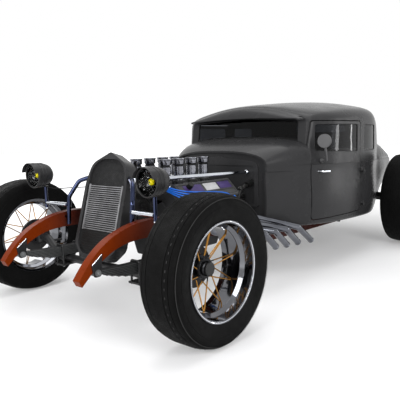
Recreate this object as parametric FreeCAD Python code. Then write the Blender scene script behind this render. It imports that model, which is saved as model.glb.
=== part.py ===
import FreeCAD, Part
import math
import os

V = FreeCAD.Vector

# ---------------------------------------------------------------- driving sizes (mm)
# Axes: +X to the car's left, -Y to its nose, +Z up, floor at Z = 0.
WHEELBASE = 2895.0
FRONT_AXLE_Y = -1428.0
REAR_AXLE_Y = FRONT_AXLE_Y + WHEELBASE
FRONT_TYRE_R = 368.0
REAR_TYRE_R = 400.0
FRONT_TYRE_X = 791.0
REAR_TYRE_X = 790.0
KINGPIN_X = 640.0
RAIL_X = 339.0
RAIL_W = 50.0
FIREWALL_Y = -358.0
BELT_FRONT_Z = 786.0
BELT_REAR_Z = 748.0
SKIN = 14.0
FLOOR_Z = 376.0
DOOR_SKIN = 20.0
GLASS = 5.0
DOOR_FRONT_Y = -52.0
DOOR_FRONT_TOP_Y = 0.0
DOOR_REAR_Y = 625.0
DOOR_BOTTOM_Z = 385.0
DOOR_TOP_Z = 1088.0
DOOR_GAP = 6.0
# clearance between a skin and what is cut to lie against it
SEAT_GAP = 0.4
# barrel hinges: axis of the door pair and of the deck lid pair, and where each hinge sits
DOOR_HINGE = (672.0, 642.0)
DOOR_HINGE_Z = (440.0, 700.0)
LID_HINGE = (1318.0, 985.0)
LID_HINGE_X = (-200.0, 200.0)
HINGE_R = 6.0
HINGE_PIN_R = 3.2
HINGE_BORE_R = 3.5
HINGE_HALF = 21.0
HINGE_SPLIT = 0.5
# round pads that carry the body on the rails
BODY_PAD_Y = (-170.0, 330.0, 800.0)
BODY_PAD_X = 324.0
BODY_PAD_R = 14.0
DECK_LID_Y = (1328.0, 1700.0)
DECK_LID_X = 330.0
GRILLE_FOOT = (-1509.0, 308.0)
GRILLE_LEAN = 15.7
CRANK_Z = 400.0
ENGINE_Y = (-1075.0, -535.0)
BANK_ANGLE = 45.0
STACK_X = 120.0
STACK_PITCH = 119.0
STACK_FIRST_Y = -1019.0
COLUMN_LOW = (290.0, -410.0, 655.0)
COLUMN_TOP = (290.0, 250.0, 825.0)
COLUMN_R = 22.0
COLUMN_BORE_R = 11.8
COLUMN_HOLE_R = 22.3
COLUMN_SHAFT_R = 11.0
PIPE_R = 21.0
PIPE_BORE_R = 17.0
# the last stretch of each exhaust pipe is opened out to take a plug or a tail pipe
PIPE_TIP_BORE_R = 18.0
PIPE_TIP_LENGTH = 60.0

SIDES = (("left", 1.0), ("right", -1.0))


# ---------------------------------------------------------------- small tools
def box(x0, x1, y0, y1, z0, z1):
    """Box between two corners."""
    return Part.makeBox(x1 - x0, y1 - y0, z1 - z0, V(x0, y0, z0))


def cyl(start, end, r):
    """Round bar from one point to another."""
    a = V(*start)
    b = V(*end)
    d = b.sub(a)
    return Part.makeCylinder(r, d.Length, a, d)


def pipe_piece(start, end, r_out, r_in):
    """Straight tube from one point to another."""
    return cyl(start, end, r_out).cut(cyl(start, end, r_in))


def mirror(shape):
    """The same piece on the other side of the car."""
    return shape.mirror(V(0, 0, 0), V(1, 0, 0))


def corner(a, b, c, r):
    """Tangent points and middle of an arc of radius r at corner b."""
    u = a.sub(b).normalize()
    w = c.sub(b).normalize()
    half = math.acos(max(-1.0, min(1.0, u.dot(w)))) / 2.0
    reach = r / math.tan(half)
    centre_dir = u.add(w).normalize()
    centre = b.add(centre_dir.multiply(r / math.sin(half)))
    mid = centre.add(b.sub(centre).normalize().multiply(r))
    return b.add(V(u).multiply(reach)), mid, b.add(V(w).multiply(reach))


def outline(points, place):
    """Closed wire through (a, b, radius) corners, placed in space by place(a, b)."""
    pts = [place(p[0], p[1]) for p in points]
    n = len(pts)
    ends = []
    for i in range(n):
        r = points[i][2] if len(points[i]) > 2 else 0.0
        if r > 0:
            ends.append(corner(pts[i - 1], pts[i], pts[(i + 1) % n], r))
        else:
            ends.append((pts[i], None, pts[i]))
    edges = []
    for i in range(n):
        first, mid, last = ends[i]
        if mid is not None:
            edges.append(Part.Arc(first, mid, last).toShape())
        nxt = ends[(i + 1) % n][0]
        if last.distanceToPoint(nxt) > 1e-4:
            edges.append(Part.makeLine(last, nxt))
    return Part.Wire(edges)


def path(points, r):
    """Open wire of straight runs joined by tangent arcs of radius r."""
    pts = [V(*p) for p in points]
    edges = []
    last = pts[0]
    for i in range(1, len(pts) - 1):
        first, mid, end = corner(pts[i - 1], pts[i], pts[i + 1], r)
        if last.distanceToPoint(first) > 1e-4:
            edges.append(Part.makeLine(last, first))
        edges.append(Part.Arc(first, mid, end).toShape())
        last = end
    edges.append(Part.makeLine(last, pts[-1]))
    return Part.Wire(edges)


def rod(points, r, bend):
    """Solid round rod along a bent path."""
    wire = path(points, bend)
    d = V(*points[1]).sub(V(*points[0]))
    ring = Part.Wire(Part.makeCircle(r, V(*points[0]), d))
    return wire.makePipeShell([ring], True, False)


def tube(points, r_out, r_in, bend):
    """Hollow round tube along a bent path."""
    return rod(points, r_out, bend).cut(rod(points, r_in, bend))


def front_plane(y):
    return lambda a, b: V(a, y, b)


def side_plane(x):
    return lambda a, b: V(x, a, b)


def top_plane(z):
    return lambda a, b: V(a, b, z)


def plate(points, place, direction):
    """Flat plate with rounded corners, pushed along a direction."""
    return Part.Face(outline(points, place)).extrude(V(*direction))


def turned(points, x, y, z):
    """Ring turned about an X axis through (x, y, z) from (dx, r, round) corners."""
    wire = outline(points, lambda a, b: V(x + a, y, z + b))
    return Part.Face(wire).revolve(V(x, y, z), V(1, 0, 0), 360)


def save(node, shape):
    shape.exportStep("parts/" + node + ".step")


# ---------------------------------------------------------------- body surfaces
# Stations of the tub: y, half width, lower edge z.
TUB = (
    (FIREWALL_Y, 418.0, 360.0),
    (-230.0, 500.0, 356.0),
    (-60.0, 588.0, 352.0),
    (150.0, 636.0, 342.0),
    (422.0, 660.0, 332.0),
    (722.0, 657.0, 322.0),
    (922.0, 636.0, 316.0),
    (1072.0, 600.0, 334.0),
    (1240.0, 572.0, 450.0),
    (1400.0, 545.0, 520.0),
    (1600.0, 505.0, 520.0),
    (1750.0, 462.0, 505.0),
    (1792.0, 430.0, 520.0),
)

# Stations of the cowl top: y, half width, crown z, squareness.
COWL = (
    (FIREWALL_Y, 420.0, 887.0, 2.5),
    (-290.0, 462.0, 918.0, 3.0),
    (-200.0, 516.0, 946.0, 3.4),
    (-60.0, 578.0, 970.0, 3.6),
    (-15.0, 588.0, 975.0, 3.6),
)

# Stations of the cab top: y at sill height, lean back per mm of height, half width,
# crown z, drop of the crown at the shoulder, shoulder radius.
CAB = (
    (-30.0, 0.13, 528.0, 1200.0, 84.0, 40.0),
    (-12.0, 0.11, 554.0, 1208.0, 84.0, 46.0),
    (20.0, 0.09, 577.0, 1215.0, 82.0, 54.0),
    (90.0, 0.06, 602.0, 1223.0, 76.0, 64.0),
    (250.0, 0.02, 634.0, 1235.0, 70.0, 78.0),
    (480.0, 0.0, 648.0, 1252.0, 68.0, 86.0),
    (760.0, 0.0, 644.0, 1265.0, 68.0, 90.0),
    (960.0, -0.04, 622.0, 1264.0, 70.0, 90.0),
    (1090.0, -0.10, 586.0, 1251.0, 72.0, 90.0),
    (1165.0, -0.16, 563.0, 1226.0, 76.0, 88.0),
    (1208.0, -0.20, 542.0, 1180.0, 80.0, 84.0),
    (1232.0, -0.24, 508.0, 1110.0, 70.0, 76.0),
)

# Stations of the rear deck: y, half width, crown z, squareness.
DECK = (
    (1150.0, 574.0, 985.0, 3.0),
    (1240.0, 564.0, 975.0, 3.0),
    (1400.0, 538.0, 958.0, 2.8),
    (1580.0, 500.0, 905.0, 2.6),
    (1710.0, 468.0, 835.0, 2.5),
    (1770.0, 440.0, 785.0, 2.4),
)
SILL_Z = 940.0


def belt(y):
    """Height of the belt crease along the body."""
    t = (y - FIREWALL_Y) / (1792.0 - FIREWALL_Y)
    return BELT_FRONT_Z + (BELT_REAR_Z - BELT_FRONT_Z) * t


def tub_section(y, w, low, inset):
    """Closed cross-section of the lower body."""
    top = belt(y) - inset
    w = w - inset
    low = low + inset
    side = (
        (w - 52.0, low),
        (w - 20.0, low + 12.0),
        (w - 8.0, low + 50.0),
        (w, low + (top - low) * 0.55),
        (w - 2.0, top),
    )
    right = Part.BSplineCurve()
    right.interpolate([V(a, y, b) for a, b in side])
    left = Part.BSplineCurve()
    left.interpolate([V(-a, y, b) for a, b in reversed(side)])
    first = V(-side[0][0], y, side[0][1])
    return Part.Wire([
        Part.makeLine(first, V(side[0][0], y, side[0][1])),
        right.toShape(),
        Part.makeLine(V(side[-1][0], y, top), V(-side[-1][0], y, top)),
        left.toShape(),
    ])


def arch_wire(half, lean, y, base, drop):
    """Closed wire through the points of half an arch, from its foot to its crown, and back."""
    pts = [V(px, y + lean * (pz - SILL_Z), pz) for px, pz in half]
    pts += [V(-p.x, p.y, p.z) for p in reversed(pts[:-1])]
    top = Part.BSplineCurve()
    top.interpolate(pts)
    foot = base - drop
    foot_y = y + lean * (foot - SILL_Z)
    right_foot = V(half[0][0], foot_y, foot)
    left_foot = V(-half[0][0], foot_y, foot)
    return Part.Wire([
        Part.makeLine(right_foot, pts[0]),
        top.toShape(),
        Part.makeLine(pts[-1], left_foot),
        Part.makeLine(left_foot, right_foot),
    ])


def arch_section(y, w, crown, square, inset, drop):
    """Cross-section of the cowl or the deck: a squared arch standing on the belt."""
    base = belt(y)
    w = w - inset
    high = crown - inset - base
    half = []
    steps = 8
    for i in range(steps + 1):
        a = math.pi / 2.0 * i / steps
        half.append((w * abs(math.cos(a)) ** (2.0 / square), base + high * math.sin(a) ** (2.0 / square)))
    half[-1] = (0.0, base + high)
    return arch_wire(half, 0.0, y, base, drop)


def cab_section(y, lean, w, crown, rise, r, inset, drop):
    """Cross-section of the cab: upright sides, a round shoulder and a flat crown."""
    base = belt(y)
    w = w - inset
    crown = crown - inset
    r = max(r - inset, 10.0)
    edge = w - r
    edge_z = crown - rise
    slope = 2.0 * rise / edge
    knee_z = edge_z - slope * r
    side_z = knee_z - r
    half = [(w, base), (w, base + (side_z - base) * 0.4), (w, base + (side_z - base) * 0.8)]
    for t in (0.0, 0.25, 0.5, 0.75, 1.0):
        half.append((
            w * (1 - t) ** 2 + 2 * w * t * (1 - t) + edge * t * t,
            side_z * (1 - t) ** 2 + 2 * knee_z * t * (1 - t) + edge_z * t * t,
        ))
    for part in (0.8, 0.55, 0.3, 0.0):
        half.append((edge * part, crown - rise * part * part))
    return arch_wire(half, lean, y, base, drop)


def tub_solid(inset, stations):
    return Part.makeLoft([tub_section(y, w, low, inset) for y, w, low in stations], True, False)


def cowl_solid(inset, drop):
    rows = [arch_section(y, w, c, n, inset, drop) for y, w, c, n in COWL]
    return Part.makeLoft(rows, True, False)


def cab_solid(inset, drop):
    rows = []
    for i, (y, lean, w, c, rise, r) in enumerate(CAB):
        shift = 0.0
        if i == 0:
            shift = inset
        if i == len(CAB) - 1:
            shift = -inset
        rows.append(cab_section(y + shift, lean, w, c, rise, r, inset, drop))
    return Part.makeLoft(rows, True, False)


def deck_solid(inset, drop):
    rows = []
    for i, (y, w, c, n) in enumerate(DECK):
        shift = -inset if i == len(DECK) - 1 else 0.0
        rows.append(arch_section(y + shift, w, c, n, inset, drop))
    return Part.makeLoft(rows, True, False)


def biggest(shape):
    """The largest solid of a shape, without stray slivers."""
    return sorted(shape.Solids, key=lambda piece: piece.Volume)[-1]


def pulled_in(points, gap):
    """Corners of an outline moved towards its middle by a gap."""
    mid_a = sum(p[0] for p in points) / len(points)
    mid_b = sum(p[1] for p in points) / len(points)
    out = []
    for a, b, r in points:
        out.append((a - math.copysign(gap, a - mid_a), b - math.copysign(gap, b - mid_b), r))
    return out


def window_cutters(gap):
    """Openings in the cab walls, as solids through the body."""
    cuts = {}
    door = (
        (16.0, 874.0, 18.0),
        (572.0, 850.0, 18.0),
        (570.0, 1060.0, 20.0),
        (24.0, 1060.0, 20.0),
    )
    quarter = (
        (700.0, 853.0, 20.0),
        (966.0, 853.0, 20.0),
        (960.0, 1058.0, 26.0),
        (700.0, 1058.0, 20.0),
    )
    rear = (
        (-270.0, 1000.0, 26.0),
        (270.0, 1000.0, 26.0),
        (235.0, 1090.0, 26.0),
        (-235.0, 1090.0, 26.0),
    )
    shield = (
        (-468.0, 880.0, 10.0),
        (468.0, 880.0, 10.0),
        (464.0, 1090.0, 24.0),
        (0.0, 1116.0, 900.0),
        (-464.0, 1090.0, 24.0),
    )
    wide = 1600.0
    cuts["door"] = plate(pulled_in(door, gap), side_plane(-wide / 2), (wide, 0, 0))
    cuts["quarter"] = plate(pulled_in(quarter, gap), side_plane(-wide / 2), (wide, 0, 0))
    cuts["rear"] = plate(pulled_in(rear, gap), front_plane(1120.0), (0, 260, 0))
    cuts["shield"] = plate(pulled_in(shield, gap), front_plane(-140.0), (0, 200, 0))
    return cuts


def door_prism(gap):
    """Side-view outline of a door, grown or shrunk by a gap."""
    pts = (
        (DOOR_FRONT_Y + gap, DOOR_BOTTOM_Z + gap, 30.0),
        (DOOR_REAR_Y - gap, DOOR_BOTTOM_Z + gap, 30.0),
        (DOOR_REAR_Y - gap, DOOR_TOP_Z - gap, 30.0),
        (DOOR_FRONT_TOP_Y + gap, DOOR_TOP_Z - gap, 20.0),
        (DOOR_FRONT_Y + gap, 786.0, 80.0),
    )
    return plate(pts, side_plane(380.0), (420, 0, 0))


def deck_prism(gap):
    """Plan outline of the deck lid, shrunk by a gap."""
    y0, y1 = DECK_LID_Y
    pts = (
        (-DECK_LID_X + gap, y0 + gap, 20.0),
        (DECK_LID_X - gap, y0 + gap, 20.0),
        (DECK_LID_X - gap - 40.0, y1 - 2.0 * gap, 50.0),
        (-DECK_LID_X + gap + 40.0, y1 - 2.0 * gap, 50.0),
    )
    return plate(pts, top_plane(700.0), (0, 0, 400))


def body_nodes():
    """Cowl, roof, quarters, doors, deck lid, floor, firewall and the glass."""
    tub_out = tub_solid(0.0, TUB)
    inner_rows = [list(r) for r in TUB]
    inner_rows[-1][0] = TUB[-1][0] - SKIN
    tub_in = tub_solid(SKIN, inner_rows)
    cowl_out = cowl_solid(0.0, 40.0)
    cowl_in = cowl_solid(SKIN, 60.0)
    cab_out = cab_solid(0.0, 40.0)
    cab_in = cab_solid(SKIN, 60.0)
    deck_out = deck_solid(0.0, 40.0)
    deck_in = deck_solid(SKIN, 60.0)
    cuts = window_cutters(0.0)
    fits = window_cutters(0.3)
    far = 3000.0
    door_hole_l = door_prism(0.0)
    door_hole_r = mirror(door_hole_l)

    front_end = box(-far, far, -far, DOOR_FRONT_Y - 4.0, 0, far)
    front_zone = box(-far, far, -far, 60.0, 0, far)
    rear_zone = box(-far, far, DOOR_REAR_Y + 4.0, far, 0, far)

    tub_shell = tub_out.cut(tub_in)
    # front panel set: lower cowl sides and the cowl top in one pressing
    cowl = tub_shell.common(front_end).fuse(cowl_out.common(front_zone).cut(tub_out.common(box(
        -far, far, DOOR_FRONT_Y - 4.0, far, 0, far))))
    cowl = cowl.cut(cowl_in).cut(tub_in).cut(cab_in).cut(door_hole_l).cut(door_hole_r)
    cowl = cowl.removeSplitter()

    # quarters, tail and deck surround in one pressing
    quarter = tub_shell.common(rear_zone).fuse(deck_out.common(box(-far, far, 1150, far, 0, far)))
    quarter = quarter.cut(deck_in).cut(tub_in).cut(cab_in)
    belly = box(-440, 440, -far, 1280.0, 0, 560.0).fuse(box(-400, 400, 1200.0, 1740.0, 0, 560.0))
    quarter = quarter.cut(deck_prism(0.0)).cut(belly).removeSplitter()
    cowl = cowl.cut(box(-340, 340, -far, far, 0, 450.0))

    # rocker sills that join cowl and quarters under the doors
    sill_zone = box(-far, far, DOOR_FRONT_Y - 3.7, DOOR_REAR_Y + 3.7, 0, DOOR_BOTTOM_Z + 100.0)
    sills = tub_shell.common(sill_zone).cut(door_hole_l).cut(door_hole_r)
    sills = sills.cut(box(-540, 540, -far, far, 0, far))

    tub_lift = shifted(tub_out, 1.0)
    cowl_lift = shifted(cowl_out, 1.0)
    deck_lift = shifted(deck_out, 1.0)
    roof = cab_out.cut(cab_in)
    for name in cuts:
        roof = roof.cut(cuts[name])
    roof = roof.cut(door_hole_l).cut(door_hole_r)
    roof = roof.cut(tub_lift).cut(cowl_lift).cut(deck_lift).removeSplitter()
    roof = biggest(roof)

    cowl = biggest(cowl)
    quarter = biggest(quarter)
    skins = {"cowl": cowl, "quarter_panels": quarter, "sills": sills, "roof": roof}

    # doors: lower skin and window frame, thicker than the body skin
    deep_tub = tub_solid(DOOR_SKIN, TUB)
    deep_cab = cab_solid(DOOR_SKIN, 80.0)
    door = tub_out.fuse(cab_out).common(door_prism(DOOR_GAP))
    pillar_zone = box(0, 505.0, -60.0, 24.0, 600.0, 1100.0)
    door = door.cut(deep_tub).cut(deep_cab).cut(cuts["door"]).cut(pillar_zone).removeSplitter()
    door = biggest(door)
    lid = deck_out.cut(deck_in).common(deck_prism(DOOR_GAP))
    upright = FreeCAD.Rotation()
    crosswise = FreeCAD.Rotation(V(0, 0, 1), V(0, -1, 0), V(1, 0, 0), "XYZ")
    for z in DOOR_HINGE_Z:
        fixed, moving = hinge(FreeCAD.Placement(V(DOOR_HINGE[0], DOOR_HINGE[1], z), upright))
        door = door.fuse(moving)
        quarter = quarter.fuse(fixed).fuse(mirror(fixed))
    for x in LID_HINGE_X:
        fixed, moving = hinge(FreeCAD.Placement(V(x, LID_HINGE[0], LID_HINGE[1]), crosswise))
        lid = lid.fuse(moving)
        quarter = quarter.fuse(fixed)
    skins["quarter_panels"] = quarter
    skins["door_left"] = door
    skins["door_right"] = mirror(door)
    skins["deck_lid"] = lid

    # glass sits in the middle of each skin
    def pane(cutter, solid_a, solid_b):
        return solid_a.cut(solid_b).common(cutter)

    mid_in = cab_solid(5.0, 80.0)
    mid_deep = cab_solid(5.0 + GLASS, 100.0)
    band = mid_in.cut(mid_deep)
    glass_door = band.common(fits["door"]).common(box(300, far, -far, far, 0, far))
    skins["door_glass_left"] = glass_door
    skins["door_glass_right"] = mirror(glass_door)
    glass_quarter = band.common(fits["quarter"])
    skins["quarter_glass"] = glass_quarter
    skins["rear_glass"] = band.common(fits["rear"])
    skins["windshield"] = band.common(fits["shield"]).cut(cowl_lift)
    return skins, tub_out.fuse(cab_out), cab_in


def hinge(place):
    """Barrel hinge about its own Z axis, skin towards -X: fixed half with the pin, moving half."""
    halves = []
    for side, low, high in ((1.0, -HINGE_HALF, -HINGE_SPLIT), (-1.0, HINGE_SPLIT, HINGE_HALF)):
        knuckle = cyl((0, 0, low), (0, 0, high), HINGE_R)
        strap = box(-HINGE_R, -HINGE_R + 4.0, min(0.0, side * 40.0), max(0.0, side * 40.0), low, high)
        foot = box(-24.0, -HINGE_R + 4.0, min(side * 26.0, side * 40.0), max(side * 26.0, side * 40.0),
                   low, high)
        halves.append(knuckle.fuse(strap).fuse(foot))
    pin = cyl((0, 0, -HINGE_HALF), (0, 0, HINGE_HALF), HINGE_PIN_R)
    bore = cyl((0, 0, -HINGE_HALF), (0, 0, HINGE_HALF), HINGE_BORE_R)
    fixed, moving = halves[0].fuse(pin), halves[1].cut(bore)
    for half in (fixed, moving):
        half.Placement = place
    return fixed, moving


def shifted(shape, dz):
    """Copy of a shape moved up or down."""
    moved = shape.copy()
    moved.translate(V(0, 0, dz))
    return moved


def panel_nodes(skins, cab_in):
    """Firewall, floor, bulkhead, visor and small body fittings."""
    far = 3000.0
    nodes = {}
    # firewall: flat pressing inside the cowl mouth, stepped twice
    trim = SKIN + SEAT_GAP
    mouth = tub_solid(trim, TUB).fuse(cowl_solid(trim, 60.0))
    slab = mouth.common(box(-far, far, FIREWALL_Y + 22.0, FIREWALL_Y + 34.0, 0, far))
    lip_pts = (
        (-343.0, 500.0, 20.0),
        (343.0, 500.0, 20.0),
        (343.0, 812.0, 50.0),
        (0.0, 846.0, 300.0),
        (-343.0, 812.0, 50.0),
    )
    raised = plate(lip_pts, front_plane(FIREWALL_Y + 6.0), (0, 18, 0))
    low_pts = (
        (-310.0, 515.0, 15.0),
        (310.0, 515.0, 15.0),
        (310.0, 784.0, 15.0),
        (-310.0, 784.0, 15.0),
    )
    raised = raised.cut(plate(low_pts, front_plane(FIREWALL_Y), (0, 12, 0)))
    wall = slab.fuse(raised).removeSplitter()
    wall = wall.cut(cyl(column_point(-80.0), column_point(200.0), COLUMN_HOLE_R))
    nodes["firewall"] = wall
    # floor pan with a drive tunnel, kicked up behind the seat
    floor_pts = (
        (FIREWALL_Y + 40.0, FLOOR_Z),
        (1008.0, FLOOR_Z),
        (1142.0, 428.0),
        (1292.0, 536.0),
        (1400.0, 574.0),
        (1700.0, 574.0),
        (1700.0, 584.0),
        (1395.0, 584.0),
        (1287.0, 546.0),
        (1137.0, 438.0),
        (1004.0, FLOOR_Z + 10.0),
        (FIREWALL_Y + 40.0, FLOOR_Z + 10.0),
    )
    pan = Part.Face(outline(floor_pts, side_plane(-500.0))).extrude(V(1000, 0, 0))
    hull = tub_solid(trim, TUB[:-1])
    slot = box(-104, 104, FIREWALL_Y, 1128.0, 360, 440)
    pan = pan.common(hull).cut(slot)
    for name in ("cowl", "quarter_panels"):
        for dz in (-SEAT_GAP, SEAT_GAP):
            pan = pan.cut(shifted(skins[name], dz))
    nodes["floor_pan"] = pan
    tunnel_out = plate(
        ((-120.0, 385.0), (120.0, 385.0), (95.0, 470.0, 40.0), (-95.0, 470.0, 40.0)),
        front_plane(FIREWALL_Y + 45.0), (0, 1440, 0))
    tunnel_in = plate(
        ((-112.0, 385.0), (112.0, 385.0), (87.0, 462.0, 34.0), (-87.0, 462.0, 34.0)),
        front_plane(FIREWALL_Y + 45.0), (0, 1440, 0))
    nodes["drive_tunnel"] = tunnel_out.cut(tunnel_in)
    # bulkhead behind the seat
    nodes["rear_bulkhead"] = hull.fuse(cab_solid(trim, 60.0)).common(
        box(-545, 545, 1128.0, 1138.0, 434.0, 905.0))
    # visor: a thin curved lip over the windshield
    lip_rows = (
        (-78.0, 492.0, 1120.0, 14.0, 8.0),
        (-64.0, 508.0, 1152.0, 44.0, 12.0),
        (-36.0, 520.0, 1182.0, 72.0, 20.0),
        (20.0, 540.0, 1204.0, 82.0, 30.0),
    )
    lip_shells = []
    for skin in (0.0, 8.0):
        rows = [cab_section(y - 0.1 * skin, 0.0, w, c, rise, r, skin, 10.0) for y, w, c, rise, r in lip_rows]
        lip_shells.append(Part.makeLoft(rows, True, False))
    lip = lip_shells[0].cut(lip_shells[1])
    lip = lip.common(box(-far, far, -far, far, 1094.0, far))
    nodes["visor"] = lip.cut(cab_in).cut(box(-far, far, -36.0, far, 0, 1120.0))
    return nodes


def column_point(distance):
    """Point on the steering column axis, measured up from its lower end."""
    a = V(*COLUMN_LOW)
    d = V(*COLUMN_TOP).sub(a).normalize()
    p = a.add(d.multiply(distance))
    return (p.x, p.y, p.z)


def chassis_nodes():
    """Frame rails, cross members, springs, axles."""
    nodes = {}
    upper = ((-1862.0, 330.0), (-1815.0, 388.0), (-1754.0, 446.0), (-1690.0, 490.0), (-1600.0, 528.0),
             (-1500.0, 553.0), (-1400.0, 562.0), (-1250.0, 556.0), (-1050.0, 520.0), (-800.0, 470.0),
             (-500.0, 430.0), (-340.0, 346.0 - 4.0))
    lower = ((-1845.0, 300.0), (-1798.0, 342.0), (-1747.0, 385.0), (-1690.0, 420.0), (-1600.0, 454.0),
             (-1500.0, 468.0), (-1400.0, 469.0), (-1250.0, 460.0), (-1050.0, 424.0), (-800.0, 374.0),
             (-500.0, 300.0), (-340.0, 256.0))
    top = Part.BSplineCurve()
    top.interpolate([V(0, a, b) for a, b in upper[:-1]] + [V(0, -360.0, 345.0)])
    low = Part.BSplineCurve()
    low.interpolate([V(0, a, b) for a, b in lower[:-1]] + [V(0, -360.0, 250.0)])
    front_tip = Part.makeLine(V(0, upper[0][0], upper[0][1]), V(0, lower[0][0], lower[0][1]))
    back_tip = Part.makeLine(V(0, -360.0, 345.0), V(0, -360.0, 250.0))
    side = Part.Face(Part.Wire([top.toShape(), back_tip, low.toShape(), front_tip]))
    front_part = side.extrude(V(RAIL_W, 0, 0))
    rear_pts = (
        (-360.0, 250.0),
        (900.0, 238.0, 200.0),
        (1160.0, 330.0, 150.0),
        (1290.0, 436.0, 150.0),
        (1480.0, 468.0, 150.0),
        (1760.0, 440.0),
        (1760.0, 500.0),
        (1480.0, 535.0, 150.0),
        (1290.0, 512.0, 150.0),
        (1140.0, 410.0, 150.0),
        (880.0, 325.0, 200.0),
        (-360.0, 325.0),
    )
    rear_part = plate(rear_pts, side_plane(0.0), (RAIL_W, 0, 0))
    rail = front_part.fuse(rear_part).removeSplitter()
    rail.translate(V(RAIL_X - RAIL_W / 2, 0, 0))
    # pads that carry the body on the rails
    for y in BODY_PAD_Y:
        rail = rail.fuse(cyl((BODY_PAD_X, y, 300.0), (BODY_PAD_X, y, FLOOR_Z - 0.2), BODY_PAD_R))
    nodes["frame_rail_left"] = rail
    nodes["frame_rail_right"] = mirror(rail)
    inner = RAIL_X - RAIL_W / 2
    # cross members between the rails
    members = {
        "front_crossmember": (-1290.0, 500.0, 26.0),
        "middle_crossmember": (300.0, 268.0, 22.0),
        "rear_crossmember": (1690.0, 480.0, 20.0),
    }
    for name, (y, z, r) in members.items():
        nodes[name] = cyl((-inner, y, z), (inner, y, z), r)
    # front spring packs: eye leaf plus shorter leaves beneath
    leaves = []
    spring_w = 45.0
    eye_y = -1755.0
    back_y = -1100.0
    eye_z = 352.0
    pack_z = 360.0
    sag = 12.0
    leaf = 7.6
    pitch = 8.4
    mid_y = (eye_y + back_y) / 2.0
    half_run = (back_y - eye_y) / 2.0
    # shortening of each leaf at its front and its rear end
    steps = (
        (18.0, 18.0),
        (26.0, 40.0),
        (40.0, 70.0),
        (62.0, 105.0),
        (95.0, 145.0),
        (135.0, 185.0),
        (180.0, 225.0),
    )
    for i, (front_cut, back_cut) in enumerate(steps):
        a = eye_y + front_cut
        b = back_y - back_cut
        pts = []
        for k in range(9):
            run_y = a + (b - a) * k / 8.0
            u = (run_y - mid_y) / half_run
            pts.append((run_y, pack_z - pitch * i - sag * (1.0 - u * u)))
        up = Part.BSplineCurve()
        up.interpolate([V(0, p, q) for p, q in pts])
        dn = Part.BSplineCurve()
        dn.interpolate([V(0, p, q - leaf) for p, q in pts])
        e0 = Part.makeLine(V(0, pts[0][0], pts[0][1]), V(0, pts[0][0], pts[0][1] - leaf))
        e1 = Part.makeLine(V(0, pts[-1][0], pts[-1][1]), V(0, pts[-1][0], pts[-1][1] - leaf))
        leaves.append(Part.Face(Part.Wire([up.toShape(), e1, dn.toShape(), e0])).extrude(V(spring_w, 0, 0)))
    pack = leaves[0]
    for k, piece in enumerate(leaves[1:]):
        seam_z = pack_z - pitch * (k + 1) - sag - 6.0
        seam = box(spring_w / 2 - 4, spring_w / 2 + 4, FRONT_AXLE_Y - 6, FRONT_AXLE_Y + 6,
                   seam_z, seam_z + 12.0)
        pack = pack.fuse(piece).fuse(seam)
    eyes = cyl((0, eye_y, eye_z), (spring_w, eye_y, eye_z), 19.0).fuse(
        cyl((0, back_y, eye_z), (spring_w, back_y, eye_z), 19.0))
    tabs = box(0, spring_w, eye_y, eye_y + 30.0, eye_z - 2.0, eye_z + 6.0).fuse(
        box(0, spring_w, back_y - 30.0, back_y, eye_z - 2.0, eye_z + 6.0))
    pack = pack.fuse(eyes).fuse(tabs)
    for y in (eye_y, back_y):
        pack = pack.cut(cyl((-5, y, eye_z), (spring_w + 5, y, eye_z), 9.0))
    pack = pack.removeSplitter()
    pack.translate(V(RAIL_X - spring_w / 2, 0, 0))
    nodes["front_springs"] = pack.fuse(mirror(pack))
    pack_low = pack_z - pitch * (len(steps) - 1) - sag - leaf
    # hangers: two cheek plates each, with the eye bolt
    cheeks = []
    for y, pts in (
        (eye_y, ((eye_y - 21.0, 332.0, 14.0), (eye_y + 21.0, 332.0, 14.0), (eye_y + 32.0, 440.0),
                 (eye_y - 34.0, 392.0))),
        (back_y, ((back_y - 24.0, 332.0, 12.0), (back_y + 24.0, 332.0, 12.0), (back_y + 24.0, 436.0),
                  (back_y - 24.0, 444.0))),
    ):
        outer = plate(pts, side_plane(RAIL_X + RAIL_W / 2 + 0.5), (6, 0, 0))
        inner_cheek = plate(pts, side_plane(RAIL_X - RAIL_W / 2 - 6.5), (6, 0, 0))
        bolt = cyl((RAIL_X - RAIL_W / 2 - 14.0, y, eye_z), (RAIL_X + RAIL_W / 2 + 14.0, y, eye_z), 8.0)
        cheeks.append(outer.fuse(inner_cheek).fuse(bolt).removeSplitter())
    hang = cheeks[0].fuse(cheeks[1])
    nodes["spring_hangers"] = hang.fuse(mirror(hang))
    # front axle beam, dropped in the middle, with an eye for each kingpin
    eye_height = 366.0
    beam_r = 24.0
    beam_z = pack_low - 0.2 - beam_r
    half = [
        (0.0, FRONT_AXLE_Y, beam_z),
        (430.0, FRONT_AXLE_Y, beam_z),
        (560.0, FRONT_AXLE_Y, eye_height),
        (KINGPIN_X, FRONT_AXLE_Y, eye_height),
    ]
    beam = rod([(-p[0], p[1], p[2]) for p in reversed(half[1:])] + half[1:], beam_r, 60.0)
    for sx in (1.0, -1.0):
        x = sx * KINGPIN_X
        beam = beam.fuse(cyl((x, FRONT_AXLE_Y, eye_height - 34), (x, FRONT_AXLE_Y, eye_height + 34), 30.0))
    for sx in (1.0, -1.0):
        x = sx * KINGPIN_X
        beam = beam.cut(cyl((x, FRONT_AXLE_Y, eye_height - 60), (x, FRONT_AXLE_Y, eye_height + 60), 13.05))
    nodes["front_axle"] = beam
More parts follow.
